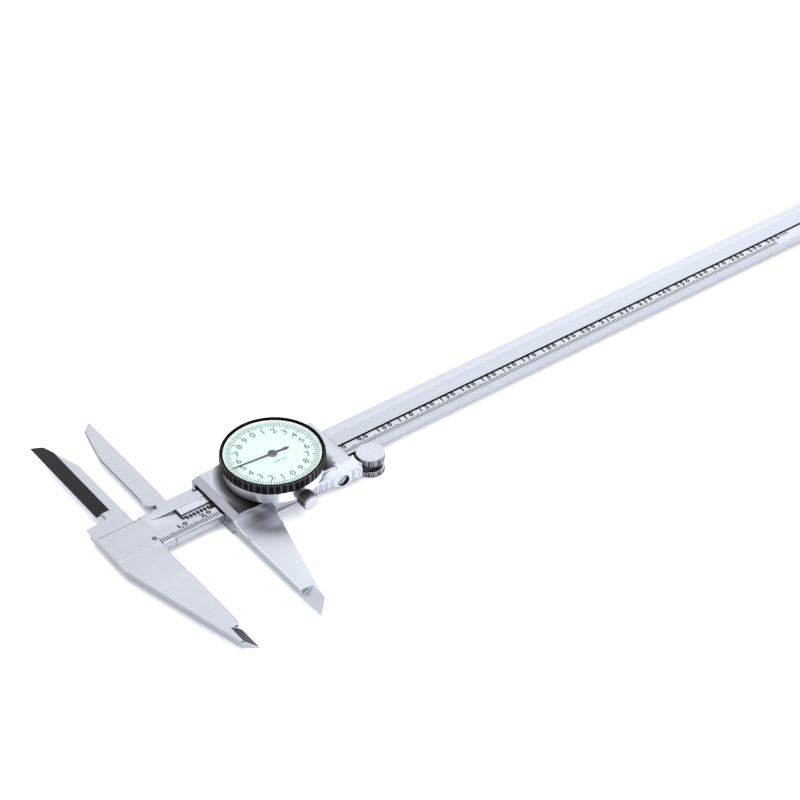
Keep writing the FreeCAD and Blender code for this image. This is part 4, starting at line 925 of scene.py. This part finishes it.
class CALIPER_OT_bezel(Operator):
    """Mill the ribbed black bezel"""

    bl_idname = "caliper.bezel"
    bl_label = "Bezel"

    def execute(self, context):
        low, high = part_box("bezel")
        centre = (low + high) / 2
        outer = (high.x - low.x) / 2 / MM
        tall = (high.z - low.z) / MM
        ledge = (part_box("dial_face")[0].z - low.z) / MM
        window = (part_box("dial_face")[1].x - centre.x) / MM + 0.05
        bore = window - 0.3
        rows = [
            (bore, 0, 0), (outer - 0.55, 0, 0), (outer - 0.12, 0.12, 0.1), (outer, 0.4, 0.38),
            (outer, tall - 1.0, 0.38), (outer - 0.1, tall - 0.7, 0.26),
            (outer - 0.3, tall - 0.42, 0.0), (outer - 0.36, tall - 0.12, 0),
            (outer - 0.55, tall, 0), (window + 0.18, tall, 0), (window, tall - 0.1, 0),
            (window, ledge, 0), (bore, ledge, 0),
        ]
        rib = (1.0, 0.85, 0.25, 0.05, 0.0, 0.0, 0.05, 0.25, 0.85)
        bm = ribbed_shape(rows, sizes().bezel_ribs, rib, True)
        # The floors between the ribs take a painted highlight.
        mark_sides(bm, outer - 0.42, outer - 0.3)
        stand_at(bm, Vector((centre.x, centre.y, low.z)), Vector((0, 0, 1)))
        piece = new_piece(
            "ribbed_bezel", bm, "bezel_group", "bezel", more=("flank",)
        )
        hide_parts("bezel")
        return {"FINISHED"}


class CALIPER_OT_rollers(Operator):
    """Turn and straight-knurl the two discs of the thumb roller"""

    bl_idname = "caliper.rollers"
    bl_label = "Thumb roller"

    def execute(self, context):
        for node in ("roller_upper_wheel", "roller_lower_wheel"):
            low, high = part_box(node)
            centre = (low + high) / 2
            outer = (high.x - low.x) / 2 / MM
            tall = (high.z - low.z) / MM
            cut = 0.26
            rows = [
                (outer - 1.2, 0, 0), (outer - 0.45, 0, 0), (outer - 0.1, 0.14, cut / 2),
                (outer, 0.34, cut), (outer, tall - 0.34, cut), (outer - 0.1, tall - 0.14, cut / 2),
                (outer - 0.4, tall, 0), (outer - 0.55, tall, 0), (0.6, tall, 0),
            ]
            rib = (1.0, 0.5, 0.0, 0.0, 0.5)
            bm = ribbed_shape(rows, sizes().roller_ribs, rib, False)
            # The rim takes painted shade, and the floors between its ribs the deeper painted shade of the
            # recesses.
            mark_sides(bm, outer - 0.3, outer + 0.1)
            mark_sides(bm, outer - 0.3, outer - 0.15, 2)
            stand_at(bm, Vector((centre.x, centre.y, low.z)), Vector((0, 0, 1)))
            name = node.replace("wheel", "disc")
            piece = new_piece(name, bm, "roller", "roller", more=("roller_side", "groove"))
            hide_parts(node)
        return {"FINISHED"}


class CALIPER_OT_pointer_cap(Operator):
    """Turn the domed cap of the pointer"""

    bl_idname = "caliper.pointer_cap"
    bl_label = "Pointer cap"

    def execute(self, context):
        centre = middle_of("dial_face")
        centre.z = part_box("pointer")[1].z
        bm = bmesh.new()
        profile = [(1.75, -0.25), (1.75, -0.05), (1.6, 0.02), (1.2, 0.08), (0.6, 0.12), (0.0, 0.13)]
        spun_profile(bm, [(0.0, -0.25)] + profile, centre, Vector((0, 0, 1)), 48)
        new_piece("pointer_cap", bm, "pointer_shaft", "hand")
        return {"FINISHED"}


class CALIPER_OT_rivet(Operator):
    """Set the small rivet of the rack"""

    bl_idname = "caliper.rivet"
    bl_label = "Rack rivet"

    def execute(self, context):
        bm = bmesh.new()
        place = at(23.4, 12.2, -0.32)
        profile = [(0.0, 0.0), (0.55, 0.0), (0.55, 0.04), (0.42, 0.09), (0.2, 0.12), (0.0, 0.13)]
        spun_profile(bm, profile, place, Vector((0, 0, 1)), 24)
        new_piece("rack_rivet", bm, "beam_group", "bright")
        return {"FINISHED"}


class CALIPER_OT_knobs(Operator):
    """Turn the knurled knobs of the two lock screws"""

    bl_idname = "caliper.knobs"
    bl_label = "Knurled knobs"

    def execute(self, context):
        self.knob("bezel_lock_screw", "bezel_screw_knob", "bezel_screw", -1)
        self.knob("slider_lock_screw", "slider_screw_knob", "slider_screw", 1)
        return {"FINISHED"}

    def knob(self, node, name, body, direction):
        """Knurled barrel with its thread end, and the turned end the user sees."""
        low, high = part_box(node)
        centre = (low + high) / 2
        axis = Vector((0, direction, 0))
        base = Vector((centre.x, high.y if direction < 0 else low.y, centre.z))
        radius = (high.z - low.z) / 2 / MM
        whole = (high.y - low.y) / MM
        neck = whole - 5.4
        shoulder = whole - 0.75
        cut = 0.24
        rows = [
            (0.7, 0, 0), (1.0, 0.3, 0), (1.0, neck, 0), (radius - 0.35, neck, 0),
            (radius, neck + 0.3, cut), (radius, shoulder - 0.3, cut), (radius - 0.3, shoulder, 0),
        ]
        bm = ribbed_shape(rows, sizes().knurl_lines, (1.0, 0.9, 0.1, 0.0, 0.1, 0.9), False)
        # The floors between the knurl's ribs take painted shade.
        mark_sides(bm, radius - cut, radius - 0.45 * cut)
        stand_at(bm, base, axis)
        piece = new_piece(name, bm, body, "knurl", more=("groove",))
        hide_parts(node)
        face = radius - 0.35
        rows = [(face, shoulder - 0.1, 0), (face, shoulder + 0.18, 0)]
        for share in (0.94, 0.84, 0.7, 0.5, 0.28, 0.1):
            rise = (whole - shoulder - 0.18) * math.sqrt(1 - share * share)
            rows.append((face * share, shoulder + 0.18 + rise, 0))
        bm = ribbed_shape(rows, 64, (0,), False)
        stand_at(bm, base, axis)
        new_piece(name + "_end", bm, body, "knob_end")


# Operators: the studio


class CALIPER_OT_stage(Operator):
    """Lay the floor, set the lights and place the camera"""

    bl_idname = "caliper.stage"
    bl_label = "Studio"

    def execute(self, context):
        self.floor()
        self.sky(context)
        self.lights()
        self.camera(context)
        return {"FINISHED"}

    def floor(self):
        bm = bmesh.new()
        bmesh.ops.create_grid(bm, x_segments=1, y_segments=1, size=4.0)
        mesh = bpy.data.meshes.new("studio_floor")
        bm.to_mesh(mesh)
        bm.free()
        material, tree, shader = blank_material("pale_paper")
        place = add_node(tree, "ShaderNodeTexCoord")
        fibre = add_node(
            tree, "ShaderNodeTexNoise",
            inputs={"Vector": place.outputs["Object"], "Scale": 900.0, "Detail": 3.0},
        )
        colour = linear(finishes().floor)
        tone = add_node(
            tree, "ShaderNodeValToRGB", inputs={"Fac": fibre.outputs["Fac"]},
            stops=((0.3, shade(colour, 0.995)), (0.7, colour)),
        )
        tree.links.new(tone.outputs["Color"], shader.inputs["Base Color"])
        shader.inputs["Roughness"].default_value = 0.9
        shader.inputs["Specular IOR Level"].default_value = 0.1
        mesh.materials.append(material)
        floor = bpy.data.objects.new("studio_floor", mesh)
        bpy.context.scene.collection.objects.link(floor)

    def sky(self, context):
        """Soft studio all round, with a dark flag high up behind the caliper for the polished
        bevels and the hollow of the jaw to show."""
        world = bpy.data.worlds.new("studio_light")
        world.use_nodes = True
        tree = world.node_tree
        tree.nodes.clear()
        place = add_node(tree, "ShaderNodeTexCoord")
        parts = add_node(tree, "ShaderNodeSeparateXYZ", inputs={"Vector": place.outputs["Generated"]})
        lean = add_node(
            tree, "ShaderNodeMath", {"operation": "MULTIPLY_ADD"},
            {0: parts.outputs["X"], 1: -0.12, 2: parts.outputs["Z"]},
        )
        tones = ((0.0, 0.85), (0.35, 1.15), (0.55, 1.28), (0.7, 1.22), (0.742, 0.1), (0.8, 0.05),
                 (0.835, 0.9), (1.0, 1.1))
        ramp = add_node(
            tree, "ShaderNodeValToRGB", inputs={"Fac": lean.outputs[0]},
            stops=[(height, (tone * 0.975, tone * 0.985, tone, 1)) for height, tone in tones],
        )
        behind = add_node(
            tree, "ShaderNodeVectorMath", {"operation": "DOT_PRODUCT"},
            {0: place.outputs["Generated"], 1: (0.45, 0.89, 0.0)},
        )
        share = add_node(
            tree, "ShaderNodeMapRange",
            inputs={"Value": behind.outputs["Value"], "From Min": 0.12, "From Max": 0.34},
        )
        tone = add_node(
            tree, "ShaderNodeMix", {"data_type": "RGBA"},
            {0: share.outputs[0], 6: (0.975, 0.985, 1.0, 1), 7: ramp.outputs["Color"]},
        )
        gain = add_node(
            tree, "ShaderNodeMapRange",
            inputs={"Value": parts.outputs["X"], "From Min": 0.35, "From Max": 0.57, "To Min": 0.97,
                    "To Max": 1.25},
        )
        glow = add_node(
            tree, "ShaderNodeBackground",
            inputs={"Color": tone.outputs[2], "Strength": gain.outputs[0]},
        )
        add_node(tree, "ShaderNodeOutputWorld", inputs={"Surface": glow.outputs["Background"]})
        context.scene.world = world
        context.scene.view_settings.view_transform = "Standard"

    def lights(self):
        """Overhead softboxes that even out the floor; the metal mirrors the room, not them."""
        for name, place, size, power in (
            ("overhead_softbox", (0.1, 0.1, 1.3), 1.6, 26.0),
            ("front_softbox", (-0.4, -1.0, 0.8), 0.8, 6.0),
        ):
            lamp = bpy.data.lights.new(name, "AREA")
            lamp.shape = "SQUARE"
            lamp.size = size
            lamp.energy = power
            lamp.color = (0.97, 0.98, 1.0)
            light = bpy.data.objects.new(name, lamp)
            light.location = place
            light.rotation_euler = (-Vector(place)).to_track_quat("-Z", "Y").to_euler()
            light.visible_glossy = False
            bpy.context.scene.collection.objects.link(light)

    def camera(self, context):
        turn, rise = math.radians(-36.83), math.radians(39.73)
        back = Vector(
            (math.sin(turn) * math.cos(rise), -math.cos(turn) * math.cos(rise), math.sin(rise))
        )
        lens = bpy.data.cameras.new("photo_camera")
        lens.sensor_width = 36.0
        lens.lens = 107.44
        lens.clip_start = 0.05
        lens.clip_end = 20.0
        camera = bpy.data.objects.new("photo_camera", lens)
        camera.location = at(114.74, 13.80, 0) + back * 0.90807
        camera.rotation_mode = "QUATERNION"
        camera.rotation_quaternion = (-back).to_track_quat("-Z", "Y")
        context.scene.collection.objects.link(camera)
        context.scene.camera = camera


class CALIPER_PT_panel(Panel):
    """Sizes, finishes and steps of the dial caliper"""

    bl_idname = "CALIPER_PT_panel"
    bl_label = "Dial caliper"
    bl_space_type = "VIEW_3D"
    bl_region_type = "UI"
    bl_category = "Caliper"

    def draw(self, context):
        for group in (context.scene.caliper_sizes, context.scene.caliper_finishes):
            box = self.layout.box()
            for key in group.__annotations__:
                box.prop(group, key)
        for step in STEPS:
            self.layout.operator(step.bl_idname)


STEPS = (
    CALIPER_OT_finishes,
    CALIPER_OT_soft_edges,
    CALIPER_OT_slider,
    CALIPER_OT_scale,
    CALIPER_OT_dial_marks,
    CALIPER_OT_dial_rim,
    CALIPER_OT_bezel,
    CALIPER_OT_pointer_cap,
    CALIPER_OT_rivet,
    CALIPER_OT_rollers,
    CALIPER_OT_knobs,
    CALIPER_OT_stage,
)
CLASSES = (CaliperSizes, CaliperFinishes, *STEPS, CALIPER_PT_panel)


def register():
    for cls in CLASSES:
        bpy.utils.register_class(cls)
    bpy.types.Scene.caliper_sizes = PointerProperty(type=CaliperSizes)
    bpy.types.Scene.caliper_finishes = PointerProperty(type=CaliperFinishes)


def unregister():
    del bpy.types.Scene.caliper_finishes
    del bpy.types.Scene.caliper_sizes
    for cls in reversed(CLASSES):
        bpy.utils.unregister_class(cls)


def main():
    register()
    for step in STEPS:
        group, name = step.bl_idname.split(".")
        getattr(getattr(bpy.ops, group), name)()


if __name__ == "__main__":
    main()
